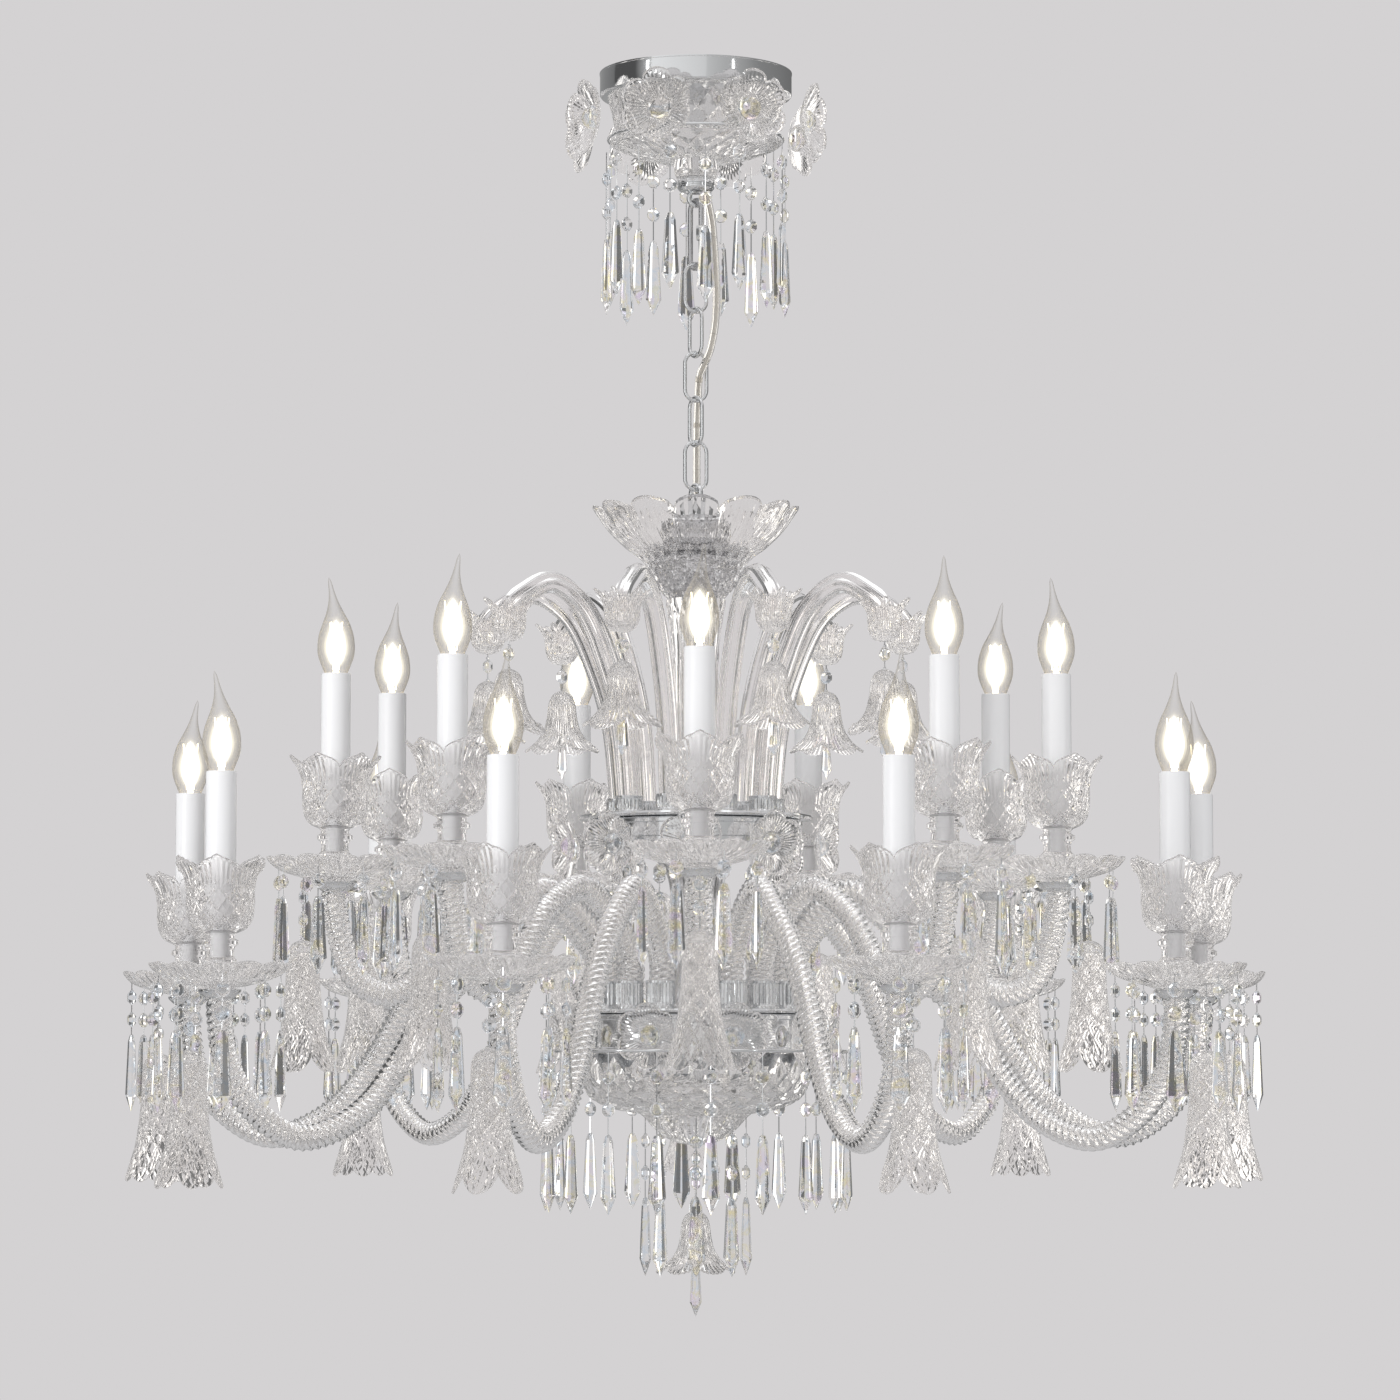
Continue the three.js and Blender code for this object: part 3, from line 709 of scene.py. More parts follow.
def make_bead():
    half, deep = bead_size / 2, bead_depth / 2
    table, girdle = half * 0.55, deep * 0.15
    outline = [(0, -deep), (table, -deep), (half, -girdle), (half, girdle), (table, deep), (0, deep)]
    shape = faceted(outline, 8, turn_by=math.pi / 8)
    bmesh.ops.rotate(shape, verts=shape.verts, matrix=Matrix.Rotation(math.pi / 2, 3, "Y"))
    return as_mesh(shape, "bead", smooth_angle=0)


def make_prism(length=prism_length, width=prism_width):
    half = width / 2
    outline = [
        (0, -length), (half, -length * 0.78), (half * 0.62, -length * 0.10), (half * 0.35, -1), (0, 0),
    ]
    shape = faceted(outline, 8, thin=prism_depth / prism_width)
    bmesh.ops.rotate(shape, verts=shape.verts, matrix=Matrix.Rotation(math.pi / 2, 3, "Z"))
    return as_mesh(shape, "prism", smooth_angle=0)


def make_pin(length):
    """A bow pin: a straight wire with a small eye at its lower end."""
    wire = turned([(0, -length), (pin_radius, -length), (pin_radius, 0), (0, 0)], 5)
    eye = turned(ring_section(eye_radius, pin_radius, 5), 8)
    bmesh.ops.rotate(eye, verts=eye.verts, matrix=Matrix.Rotation(math.pi / 2, 3, "X"))
    at_end = shift(z=-length - eye_radius)
    return merged("pin", [(as_mesh(wire, "wire"), shift()), (as_mesh(eye, "eye"), at_end)])


def hung_pins(name, pins):
    """Pins of (length, height of the top) on one line."""
    return merged(name, [(make_pin(length), shift(z=height)) for length, height in pins])


bead_mesh = make_bead()
prism_mesh = make_prism()


def make_string(length, beads):
    """One mesh for glass and one for its pins, hung from the origin, together `length` long."""
    gap = (length - prism_length - beads * bead_size) / (beads + 1)
    pin = make_pin(gap)
    stones, pins, height = [], [], 0
    for _ in range(beads):
        pins.append((pin, shift(z=height)))
        stones.append((bead_mesh, shift(z=height - gap - bead_size / 2)))
        height -= gap + bead_size
    pins.append((pin, shift(z=height)))
    stones.append((prism_mesh, shift(z=height - gap)))
    return merged("string_stones", stones), merged("string_pins", pins)


def string_ring(name, string, count, radius, height, body, nodes, first=0.0, drops=(0,)):
    """Strings hung round a ring; drops says how much lower they hang, one after the other."""
    stones, pins = string
    places = []
    for i in range(count):
        places.append(out_at(first + 360 / count * i, radius, height - drops[i % len(drops)]))
    place(name, merged(name, [(stones, p) for p in places]), [prism_glass], body, "crystal", nodes)
    place(name + "_pins", merged(name, [(pins, p) for p in places]), [chrome], body, "chrome", nodes)


print("bead faces:", len(bead_mesh.polygons), "prism faces:", len(prism_mesh.polygons))

# %% [markdown]
# ## Glass flowers
# Moulded rosettes with six rounded petals ring the canopy and both bands. Each is a thin shallow dish that is
# turned and then notched six times. Fine ribs run out from the centre, where a round faceted stone is
# pinned.

# %% Rosettes
petal_count = 6


def make_rosette(radius, thickness=3.4):
    face = [(0.0, 0.0), (0.30, 0.0), (0.38, 0.03), (0.60, 0.12), (0.82, 0.22), (0.95, 0.29), (1.0, 0.29)]
    front = [(r * radius, h * radius) for r, h in smooth(face, 2)]
    back = [(r - 0.9, h - thickness * (1 - 0.25 * r / radius)) for r, h in front[:0:-1]] + [(0, -thickness)]
    shape = turned(front + back, 96)

    def notch(r, angle, height, along):
        share = min(1, max(0, (r / radius - 0.4) / 0.6))
        lobe = abs(math.cos(petal_count / 2 * angle)) ** 0.55
        ribbed = rib(angle, 96, 0.35) if along < 0.47 and 0.37 < r / radius < 0.90 else 0
        return (r * (1 + share * (0.20 * lobe - 0.18)), angle,
                height + share**2 * radius * 0.10 * (lobe - 0.7) + ribbed)

    return as_mesh(reshape(shape, notch), "rosette", smooth_angle=16)


def make_stone(radius):
    """A round faceted stone, flatter at the back."""
    shape = turned([(0, -radius * 0.2), (radius, -radius * 0.1), (radius * 0.84, radius * 0.34),
                    (radius * 0.48, radius * 0.60), (0, radius * 0.64)], 9)
    return as_mesh(shape, "stone", smooth_angle=0)


def flower_ring(name, radius, count, first, ring, height, body, node):
    rosette, stone = make_rosette(radius), make_stone(radius * 0.34)
    to_face_out = turn(90, "Y")
    places = [out_at(first + 360 * i / count, ring, height) @ to_face_out for i in range(count)]
    lift = shift(z=radius * 0.04)
    place(name, merged(name, [(rosette, p) for p in places]), [clear_glass], body, "crystal", [node])
    stones = merged(name, [(stone, p @ lift) for p in places])
    place(name + "_stones", stones, [prism_glass], body, "crystal", [node])


# %% [markdown]
# ## Canopy
# The canopy is a polished pan that closes on the ceiling, with a cut-glass bowl clamped under it by the
# hub. Eight rosettes stand round the bowl, and a wire ring on its ledge carries sixteen strings. Every
# second string hangs a little lower, as in the photograph.

# %% Canopy
ceiling = "ceiling_set"
shell_low, shell_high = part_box("canopy_shell")
stem_hole = 5.3
pan_radius = shell_high.x / mm
pan_height = -shell_low.z / mm
bowl_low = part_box("canopy_glass_bowl")[0].z / mm
bowl_top = -pan_height - 0.3
hub_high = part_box("canopy_hub")[1].z / mm
hub_nut_low, hub_loop_height = -113.6, -119.5
hub_collar_low, hub_collar_high = -99.8, -83.6
ring_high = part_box("canopy_drop_ring")[1].z / mm


def make_pan(radius, height, wall=2.0):
    return as_mesh(turned([
        (stem_hole, -height), (radius - 4, -height), (radius - 1.5, -height + 0.8),
        (radius - 0.4, -height + 2.2), (radius - 0.4, -1.6), (radius, -1.2), (radius, 0), (radius - wall, 0),
        (radius - wall, wall - height), (stem_hole, wall - height), (stem_hole, -height),
    ], 128), "pan")


def make_canopy_bowl():
    foot, top = bowl_low, bowl_top
    rise = top - foot
    shelf = smooth([(36, foot), (58, foot + 0.10 * rise), (78, foot + 0.23 * rise)], 4)
    wall = smooth([(75.5, foot + 0.31 * rise), (77, foot + 0.5 * rise), (80, foot + 0.75 * rise),
                   (84, top)], 4)
    outside = [*shelf, (81.5, foot + 0.27 * rise), (81.5, foot + 0.30 * rise), *wall]
    inside = [(80, top), (71.5, foot + 0.36 * rise), (52, foot + 0.2 * rise), (34, foot + 4),
              (stem_hole, foot + 4)]
    rows = [(stem_hole, foot), *outside, *inside, (stem_hole, foot)]
    shape = diamond_cut(turned(rows, 144), 144, len(rows) - 1, 1, 9, 6, 0.8)
    diamond_cut(shape, 144, len(rows) - 1, 12, len(outside), 6, 0.8)
    return as_mesh(shape, "canopy_bowl", smooth_angle=20)


place("canopy_pan", make_pan(pan_radius, pan_height), [chrome], ceiling, "chrome", ["canopy_shell"])
place("canopy_bowl", make_canopy_bowl(), [bowl_glass], ceiling, "crystal", ["canopy_glass_bowl"])
flower_ring("canopy_flowers", 35, 8, -18.5, 109, -52, ceiling, "canopy_glass_bowl")


def make_wire_ring(radius, wire, sides=96):
    return as_mesh(turned(ring_section(radius, wire, 10), sides), "wire_ring", smooth_angle=80)


place("canopy_wire_ring", make_wire_ring(83, 1.5), [chrome], ceiling, "chrome", ["canopy_drop_ring"],
      shift(z=ring_high - 1.5))
string_ring("canopy_strings", make_string(156, 2), 16, 85, ring_high - 2, ceiling, ["canopy_drop_ring"],
            first=5.625, drops=(13, 0))


def make_hub():
    top, low = hub_high, hub_nut_low
    nut = as_mesh(turned([
        (0, low), (12, low), (15.5, low + 1.2), (17.5, low + 3.5), (17.5, low + 5), (16.4, low + 5.6),
        (16.4, low + 6.8), (17.6, low + 7.4), (17.6, low + 12), (16.5, low + 13.4), (5, low + 13.4),
        (5, top), (0, top),
    ], 64), "hub_nut")
    loop = as_mesh(turned(ring_section(7, 2.2, 12), 40), "hub_loop", smooth_angle=80)
    stand = shift(z=hub_loop_height) @ turn(18) @ turn(90, "X")
    return merged("hub", [(nut, Matrix.Identity(4)), (loop, stand)])


def make_hub_collar():
    """The glass collar between the bowl and the nut."""
    low, high = hub_collar_low, hub_collar_high
    outside = smooth([(stem_hole, low), (17.5, low), (19, low + 1), (20.8, low + 6), (21, high - 4),
                      (20, high)], 3)
    return as_mesh(turned([*outside, (stem_hole, high), (stem_hole, low)], 64), "hub_collar")


place("canopy_hub_nut", make_hub(), [chrome], ceiling, "chrome", ["canopy_hub"])
place("canopy_hub_collar", make_hub_collar(), [clear_glass], ceiling, "crystal", ["canopy_hub"])
bracket_finishes = frame["nodes"]["ceiling_bracket"].data.materials
bracket_finishes.clear()
bracket_finishes.append(steel)

# %% [markdown]
# ## Chain
# A link is one round wire bent into an oval. A curve with a round bevel makes it: two straight legs and
# two half circles. The quick link is a thicker oval with a gap in one leg, closed by its screw sleeve.

# %% Chain
def tube_mesh(name, points, radius, closed=False, resolution=5, profile=None, tilts=None, smooth_angle=80):
    """A mesh tube along points in millimetres; a profile lists the points of a section that isn't round."""
    curve = bpy.data.curves.new(name, "CURVE")
    curve.dimensions = "3D"
    line = curve.splines.new("POLY")
    line.points.add(len(points) - 1)
    for i, (point, co) in enumerate(zip(line.points, points)):
        point.co = (*(Vector(co) * mm), 1)
        point.tilt = tilts[i] if tilts else 0
    line.use_cyclic_u = closed
    curve.use_fill_caps = True
    section = None
    if profile:
        section_curve = bpy.data.curves.new("section", "CURVE")
        ring = section_curve.splines.new("POLY")
        ring.points.add(len(profile) - 1)
        for point, (x, y) in zip(ring.points, profile):
            point.co = (x * mm, y * mm, 0, 1)
        ring.use_cyclic_u = True
        section = bpy.data.objects.new("section", section_curve)
        curve.bevel_mode = "OBJECT"
        curve.bevel_object = section
    else:
        curve.bevel_depth = radius * mm
        curve.bevel_resolution = resolution
    holder = bpy.data.objects.new(name, curve)
    scene.collection.objects.link(holder)
    mesh = bpy.data.meshes.new_from_object(holder.evaluated_get(bpy.context.evaluated_depsgraph_get()))
    bpy.data.objects.remove(holder)
    if section:
        bpy.data.objects.remove(section)
    mesh.uv_layers[0].name = "around"
    mesh.name = name
    mesh.shade_smooth()
    mesh.set_sharp_from_angle(angle=math.radians(smooth_angle))
    return mesh


def oval(width, length, wire, arc_steps=14):
    """Centre line of a link standing in the XZ plane, in millimetres."""
    radius, straight = width / 2 - wire, (length - width) / 2
    points = []
    for i in range(2 * arc_steps + 2):
        end = i > arc_steps
        angle = math.pi * (i - end) / arc_steps
        height = radius * math.sin(angle) + (-straight if end else straight)
        points.append((radius * math.cos(angle), 0, height))
    return points


wide_turn, narrow_turn = 18, -58
links = [f"chain_link_{i}" for i in range(1, 6)]
link_mesh = tube_mesh("link", oval(25, 49.8, 1.75), 1.75, closed=True)
for i, link in enumerate(links):
    low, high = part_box(link)
    middle = (low.z + high.z) / 2 / mm
    place(link + "_wire", link_mesh, [chrome], link, "chrome", [link],
          shift(z=middle) @ turn(narrow_turn if i % 2 else wide_turn))


def make_quick_link():
    radius, straight, mouth = 9.5, 23, 4
    arcs = oval(24, 70, 2.5)
    right = [(radius, 0, mouth)]
    points = right + arcs + [(radius, 0, -mouth)]
    return tube_mesh("quick_link", points, 2.5, resolution=6)


def make_sleeve():
    """A six-sided nut with turned ends."""
    shape = turned([(2.8, -7), (4.3, -7), (4.8, -6), (4.8, 6), (4.3, 7), (2.8, 7), (2.8, -7)], 6)
    return as_mesh(shape, "sleeve", smooth_angle=25)


quick_low, quick_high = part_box("quick_link")
quick_place = shift(z=(quick_low.z + quick_high.z) / 2 / mm) @ turn(narrow_turn)
place("quick_link_wire", make_quick_link(), [steel], "quick_link", "steel", ["quick_link"], quick_place)
place("quick_link_nut", make_sleeve(), [chrome], "quick_link_sleeve", "steel", ["quick_link_sleeve"],
      quick_place @ shift(x=9.5))

# %% [markdown]
# ## Stem, top bowl and columns
# A threaded rod carries the stack. On it stand a silvered cup, the top bowl with a silvered lining in its
# foot, and a fluted glass column. The petals of the bowl are a turned wall whose rim is lifted and pushed
# out twelve times.

# %% Stem, top bowl and columns
hung = "chandelier"
stem_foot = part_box("centre_stem")[0].z / mm
stem_head, stem_eye_height = -409.7, -401.7
collar_top, collar_low = -433.7, -456.7
bowl_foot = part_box("top_bowl")[0].z / mm
column_low, column_high = (corner.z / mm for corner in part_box("upper_column"))


def make_stem():
    rod = as_mesh(turned([
        (0, stem_foot), (5, stem_foot), (5, collar_low), (14, collar_low + 6), (14, collar_top + 4),
        (9, collar_top + 6), (9, collar_top + 14), (7, collar_top + 18), (5, stem_head), (0, stem_head),
    ], 48), "rod")
    eye = as_mesh(turned(ring_section(8, 2.5, 12), 40), "eye", smooth_angle=80)
    stand = shift(z=stem_eye_height) @ turn(narrow_turn) @ turn(90, "X")
    return merged("stem", [(rod, Matrix.Identity(4)), (eye, stand)])


def make_silver_cup():
    return as_mesh(turned([
        (stem_hole, collar_low), (24, collar_low), (29, collar_low + 4), (33, collar_low + 14),
        (34, collar_top), (31, collar_top + 3), (22, collar_top + 8), (10, collar_top + 10),
        (stem_hole, collar_top + 10), (stem_hole, collar_low),
    ], 64), "silver_cup")


def make_silver_core():
    """The silvered lining that shows grey through the foot of the top bowl."""
    foot = bowl_foot
    flank = smooth([(24, foot + 8), (30, foot + 18), (34, foot + 30), (38, foot + 42)], 3)
    outline = [(stem_hole, foot + 2), (20, foot + 2), *flank, (stem_hole, foot + 43), (stem_hole, foot + 2)]
    return as_mesh(turned(outline, 64), "silver_core")


def make_top_bowl():
    foot = bowl_foot
    outside = smooth([(26, foot), (33, foot + 7), (40, foot + 16), (45, foot + 27), (51, foot + 37),
                      (64, foot + 47), (80, foot + 63), (93, foot + 84)], 4)
    inside = smooth([(89, foot + 87), (76, foot + 68), (58, foot + 51), (44, foot + 46), (36, foot + 45)], 4)
    rows = [(stem_hole, foot), *outside, (93, foot + 87), *inside, (stem_hole, foot + 45), (stem_hole, foot)]
    shape = turned(rows, 144)
    diamond_cut(shape, 144, len(rows) - 1, 2, 20, 6, 1.6)

    def petals(r, angle, height, along):
        share = max(0, (r - 52) / 40)
        lobe = abs(math.cos(6 * angle)) ** 0.5
        return r + share**2 * (lobe - 0.7) * 14, angle, height + share**2 * (lobe - 0.85) * 11

    return as_mesh(reshape(shape, petals), "top_bowl", smooth_angle=26)


def fluted(outline, sides, flutes, depth, between):
    low, high = between

    def cut(r, angle, height, along):
        if low < height < high and r > 1:
            return r - depth * (0.5 + 0.5 * math.cos(flutes * angle)), angle, height
        return r, angle, height

    return reshape(turned(outline, sides), cut)


place("stem_rod", make_stem(), [chrome], hung, "chrome", ["centre_stem"])
place("silver_cup", make_silver_cup(), [silvered_glass], hung, "chrome", ["centre_stem"])
place("silver_core", make_silver_core(), [silvered_glass], hung, "chrome", ["centre_stem"])
place("top_bowl_petals", make_top_bowl(), [glass("top_bowl_glass", [(ribs, 72, 0, 0.35)])],
      hung, "crystal", ["top_bowl"])

column_flank = smooth([(26, column_low + 8), (22, column_low + 40), (22, column_low + 145),
                       (28, column_high - 6)], 5)
column_outline = [
    (stem_hole, column_low), (26, column_low), *column_flank, (28, column_high), (stem_hole, column_high),
    (stem_hole, column_low),
]
column = as_mesh(fluted(column_outline, 96, 16, 2.2, (column_low + 6, column_high - 8)), "column")
place("fluted_column", column, [clear_glass], hung, "crystal", ["upper_column"])

# %% [markdown]
# ## Arms
# The arms are rope glass: a rod of six lobes that was twisted while hot. A curve with a lobed section
# and a tilt that grows along it gives the same form. Its route is that of the CAD arm, up out of the
# ferrule, over the arch and through the bend to the lamp.

# %% Arms
tiers = {
    "upper": {"reach": 340, "height": 109, "first": 0},
    "lower": {"reach": 490, "height": 6, "first": 20},
}
arm_radius = 12
ferrule_ring = 97
arch_height = 108
riser = 34
tray_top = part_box("lower_tray")[1].z / mm
arm_shares = {
    "upper": [(0, 0.05), (0, 0.5), (0.24, 1), (0.46, 0.83), (0.62, 0.4), (0.78, 0.13), (0.93, 0.3)],
    "lower": [(0, 0.05), (0, 0.5), (0.15, 1), (0.29, 0.76), (0.42, 0.28), (0.54, -0.45), (0.65, -0.90),
              (0.79, -1.09), (0.91, -0.87), (0.98, -0.49)],
}
rope_lobes = 6
rope_pitch = 40


def even_points(points, spacing):
    """Points at an even spacing along the smooth curve through these."""
    dense = [Vector(p) for p in smooth(points, 24)]
    lengths = [0]
    for a, b in zip(dense, dense[1:]):
        lengths.append(lengths[-1] + (b - a).length)
    count = max(2, round(lengths[-1] / spacing))
    result, segment = [], 0
    for i in range(count + 1):
        target = lengths[-1] * i / count
        while segment < len(dense) - 2 and lengths[segment + 1] < target:
            segment += 1
        span = lengths[segment + 1] - lengths[segment]
        share = (target - lengths[segment]) / span if span else 0
        result.append(dense[segment].lerp(dense[segment + 1], min(max(share, 0), 1)))
    return result, lengths[-1]


def lobed(radius, lobes, depth, steps):
    section = []
    for i in range(steps):
        angle = full_turn * i / steps
        r = radius - depth * (0.5 - 0.5 * math.cos(lobes * angle))
        section.append((r * math.cos(angle), r * math.sin(angle)))
    return section


def make_arm(tier):
    size = tiers[tier]
    across = size["reach"] - ferrule_ring
    route = [(ferrule_ring + out * across, 0, up * arch_height) for out, up in arm_shares[tier]]
    end = size["height"] - 0.3
    route += [(size["reach"], 0, end - riser / 2), (size["reach"], 0, end)]
    points, length = even_points(route, 2.2)
    tilts = [full_turn * i * length / (len(points) - 1) / rope_pitch for i in range(len(points))]
    print(tier, "arm length:", round(length), "mm")
    section = lobed(arm_radius, rope_lobes, 2.2, 24)
    return tube_mesh(tier + "_arm", points, arm_radius, profile=section, tilts=tilts)


def make_ferrule(radius, height, flutes=22):
    outline = [
        (0, 0.3), (radius + 0.5, 0.3), (radius + 0.5, 2.5), (radius - 0.4, 3.5), (radius, 4.2), (radius, 6),
        (radius, height - 4), (radius - 0.3, height - 3), (radius + 0.3, height - 2.4),
        (radius + 0.3, height - 0.5), (radius - 0.5, height), (0, height),
    ]
    return as_mesh(fluted(outline, flutes * 6, flutes, 1.3, (4, height - 3)), "ferrule", smooth_angle=50)


ferrule_mesh = make_ferrule(13.5, 26)
for tier, size in tiers.items():
    arm_mesh = make_arm(tier)
    for i in range(9):
        node = f"{tier}_arm_{i + 1}"
        at_tray = out_at(size["first"] + 40 * i, 0, tray_top)
        place(node + "_rope", arm_mesh, [rope_glass], hung, "crystal", [node], at_tray)
        place(node + "_ferrule", ferrule_mesh, [chrome], hung, "chrome", [node],
              at_tray @ shift(x=ferrule_ring))

# %% [markdown]
# ## Candle lamps
# Each arm ends in a chrome cap, a scalloped saucer, a cut cup with six petals, a white candle sleeve
# and a bent-tip bulb. Eight strings and one long bell hang from the saucer, the bell on the outer side.

# %% Candle lamps
def make_cap():
    return as_mesh(turned([(0, 0), (12, 0), (15, 2), (19, 6), (19.5, 8), (12, 9.5), (0, 9.5)], 48), "cap")


def make_saucer():
    outside = smooth([(0, 9), (14, 9.5), (32, 13), (48, 18), (57, 23), (61, 28)], 4)
    inside = smooth([(59, 31), (50, 25), (34, 19.5), (22, 18.5), (19, 21)], 4)
    stem = [(17, 24), (17, 27), (12.5, 29), (12.5, 33), (0, 33)]
    shape = turned([*outside, (61.5, 30), *inside, *stem], 96)

    def scallop(r, angle, height, along):
        share = max(0, (r - 30) / 31)
        lobe = abs(math.cos(6 * angle)) ** 0.7
        return r + share**3 * (lobe - 0.6) * 5, angle, height + share**3 * (lobe - 0.6) * 4

    return as_mesh(reshape(shape, scallop), "saucer", smooth_angle=50)


def make_cup():
    neck = [(0, 32), (14, 32), (15.5, 34), (13, 36.5), (12.4, 42), (13.4, 46), (16.5, 48), (16.5, 51.5),
            (13, 53.5), (13, 56)]
    outside = smooth([(15, 58), (24, 62.5), (29, 71), (30.6, 83), (30.6, 95), (31.5, 105), (35, 113.5),
                      (39.5, 119)], 5)
    inside = smooth([(38, 120.5), (33.4, 114.5), (28.8, 105), (27.2, 95), (27.2, 83), (25.6, 73), (18, 66.5),
                     (0, 64.5)], 3)
    rows = [*neck, *outside, *inside]
    shape = turned(rows, 96)
    diamond_cut(shape, 96, len(rows) - 1, len(neck) + 5, len(neck) + 21, 8, 1.2)

    def petals(r, angle, height, along):
        share = min(1, max(0, (height - 100) / 19)) if r > 20 else 0
        lobe = abs(math.cos(3 * angle)) ** 0.6
        tip = max(0, math.cos(6 * angle)) ** 6
        ribbed = rib(angle, 96, 0.4) if along < 0.72 and height > 99 and r < 39 else 0
        return (r + ribbed + share**2 * ((lobe - 0.6) * 4 + tip * 2), angle,
                height + share**2 * ((lobe - 0.62) * 10 + tip * 2.5))

    return as_mesh(reshape(shape, petals), "cup", smooth_angle=20)


def make_candle():
    return as_mesh(turned([
        (0, 34), (6, 34), (6, 63), (13.75, 66.5), (13.75, 201), (13.2, 202), (12.2, 202), (12.2, 196),
        (0, 196),
    ], 48), "candle")


bulb_outline = smooth([
    (0, 196), (8, 197), (10, 201), (13, 208), (16.6, 218), (17.4, 227), (16.2, 238), (12.6, 249),
    (8.6, 258), (5.6, 266), (3.7, 273), (2.5, 280), (1.5, 288), (0, 292),
], 3)


def bend_tip(shape, lean=9):
    for vert in shape.verts:
        past = max(0, vert.co.z / mm - 248) / 44
        vert.co.x += lean * mm * (past**1.5) * (1 - 0.2 * past)
    return shape


def make_bulb():
    return as_mesh(bend_tip(turned(bulb_outline, 32)), "bulb", smooth_angle=80)


def make_filaments():
    sticks = []
    for i in range(4):
        stick = as_mesh(turned([(0, 0), (0.6, 0), (0.6, 44), (0, 44)], 6), "stick")
        sticks.append((stick, turn(45 + 90 * i) @ shift(x=3.4, z=206) @ turn(5, "Y")))
    stem = as_mesh(turned([(0, 197), (4.5, 197), (3, 203), (1.6, 209), (0, 209)], 10), "bulb_stem")
    return merged("filaments", [*sticks, (stem, Matrix.Identity(4))])


glow_sizes = (7.2, 9.4, 11.4, 13.4)


def make_glow(radius):
    """A soft body of light, as wide as its radius gives and reaching as far past the filaments."""
    past = radius - glow_sizes[0]
    low, high = 210 - 0.6 * past, 252 + 1.2 * past
    rise = high - low
    outline = smooth([(0, low), (0.55 * radius, low + 0.05 * rise), (0.92 * radius, low + 0.24 * rise),
                      (radius, low + 0.42 * rise), (0.8 * radius, low + 0.66 * rise),
                      (0.45 * radius, low + 0.86 * rise), (0, high)], 2)
    return as_mesh(turned(outline, 16), "glow", smooth_angle=80)


def make_long_bell():
    outside = smooth([(4, -46), (11, -50), (15, -58), (15.6, -68), (15.8, -78), (16.2, -88), (17, -98),
                      (18, -108), (19.4, -119), (22, -134), (29, -156)], 5)
    inside = smooth([(27.5, -157), (19.6, -135), (15.8, -114), (13.8, -94), (12.8, -74), (11, -58),
                     (0, -52)], 3)
    rows = [(0, -46), *outside, *inside]
    shape = turned(rows, 60)
    diamond_cut(shape, 60, len(rows) - 1, 11, 41, 10, 1.5)

    def flare(r, angle, height, along):
        share = min(1, max(0, (-118 - height) / 38))
        lobe = abs(math.cos(2.5 * angle)) ** 0.9
        ribbed = rib(angle, 60, 0.15) if along < 0.7 and -154 < height < -134 else 0
        return r + ribbed + share**2 * (lobe - 0.55) * 5, angle, height - share**2 * (lobe - 0.45) * 19

    return as_mesh(reshape(shape, flare), "long_bell", smooth_angle=20)


cap_mesh, saucer_mesh, cup_mesh, candle_mesh = make_cap(), make_saucer(), make_cup(), make_candle()
bulb_mesh, filament_mesh, bell_mesh = make_bulb(), make_filaments(), make_long_bell()
glow_meshes = [make_glow(radius) for radius in glow_sizes]
bell_glass = glass("cut_bell_glass", [
    (cross_cuts, 12, 16, 1.4, 0.14, 0.10, 2.0),
])
bell_out = 29
lamp_strings = {"upper": make_string(100, 1), "lower": make_string(122, 2)}
bell_string = merged("bell_beads", [(bead_mesh, shift(z=-6)), (bead_mesh, shift(z=-27))])
bell_pins = hung_pins("bell_pins", [(12, 13), (6, -13), (9, -34)])


def make_lamp_strings(tier):
    stones, pins = lamp_strings[tier]
    places = [turn(22.5 + 45 * i) @ shift(x=54, z=21) for i in range(8)]
    hang_bell = shift(x=bell_out)
    return (merged("lamp_stones", [(stones, p) for p in places] + [(bell_string, hang_bell)]),
            merged("lamp_pins", [(pins, p) for p in places] + [(bell_pins, hang_bell)]))


for tier, size in tiers.items():
    stones, pins = make_lamp_strings(tier)
    for k in range(9):
        node = f"{tier}_lamp_{k + 1}"
        at_lamp = out_at(size["first"] + 40 * k, size["reach"], tray_top + size["height"])
        for part, mesh, finish, slot in (
            ("cap", cap_mesh, chrome, "chrome"), ("saucer", saucer_mesh, saucer_glass, "crystal"),
            ("cup", cup_mesh, cup_glass, "crystal"), ("sleeve", candle_mesh, candle_white, "lamp"),
            ("stones", stones, prism_glass, "crystal"), ("pins", pins, chrome, "chrome"),
            ("bell", bell_mesh, bell_glass, "crystal"),
        ):
            matrix = at_lamp @ shift(x=bell_out) if part == "bell" else at_lamp
            place(f"{node}_{part}", mesh, [finish], hung, slot, [node], matrix)
        lean = at_lamp @ turn(97 * k + (40 if tier == "upper" else 0))
        place(node + "_bulb", bulb_mesh, [bulb_glass], hung, "lamp", [node], lean)
        place(node + "_filaments", filament_mesh, [filament_light], hung, "lamp", [node], lean)
        for i, (glow_mesh, glow_light) in enumerate(zip(glow_meshes, glow_lights)):
            place(f"{node}_glow_{i + 1}", glow_mesh, [glow_light], hung, "lamp", [node], lean)

# %% [markdown]
# ## Crooks
# Nine clear crooks rise from ferrules on the upper tray and bend over. Each ends in a tulip with pointed
# petals, and under it hang a bead, a ruffled bell flower and a small prism.

# %% Crooks
crook_ring, crook_reach = 72, 200
crook_rise, crook_end = 213, 176
crook_radius = 10.5
crook_tray_top = -706.6
crook_shares = [(0, 0.03), (0.02, 0.2), (0.06, 0.4), (0.16, 0.62), (0.36, 0.88), (0.64, 1), (0.88, 0.94)]


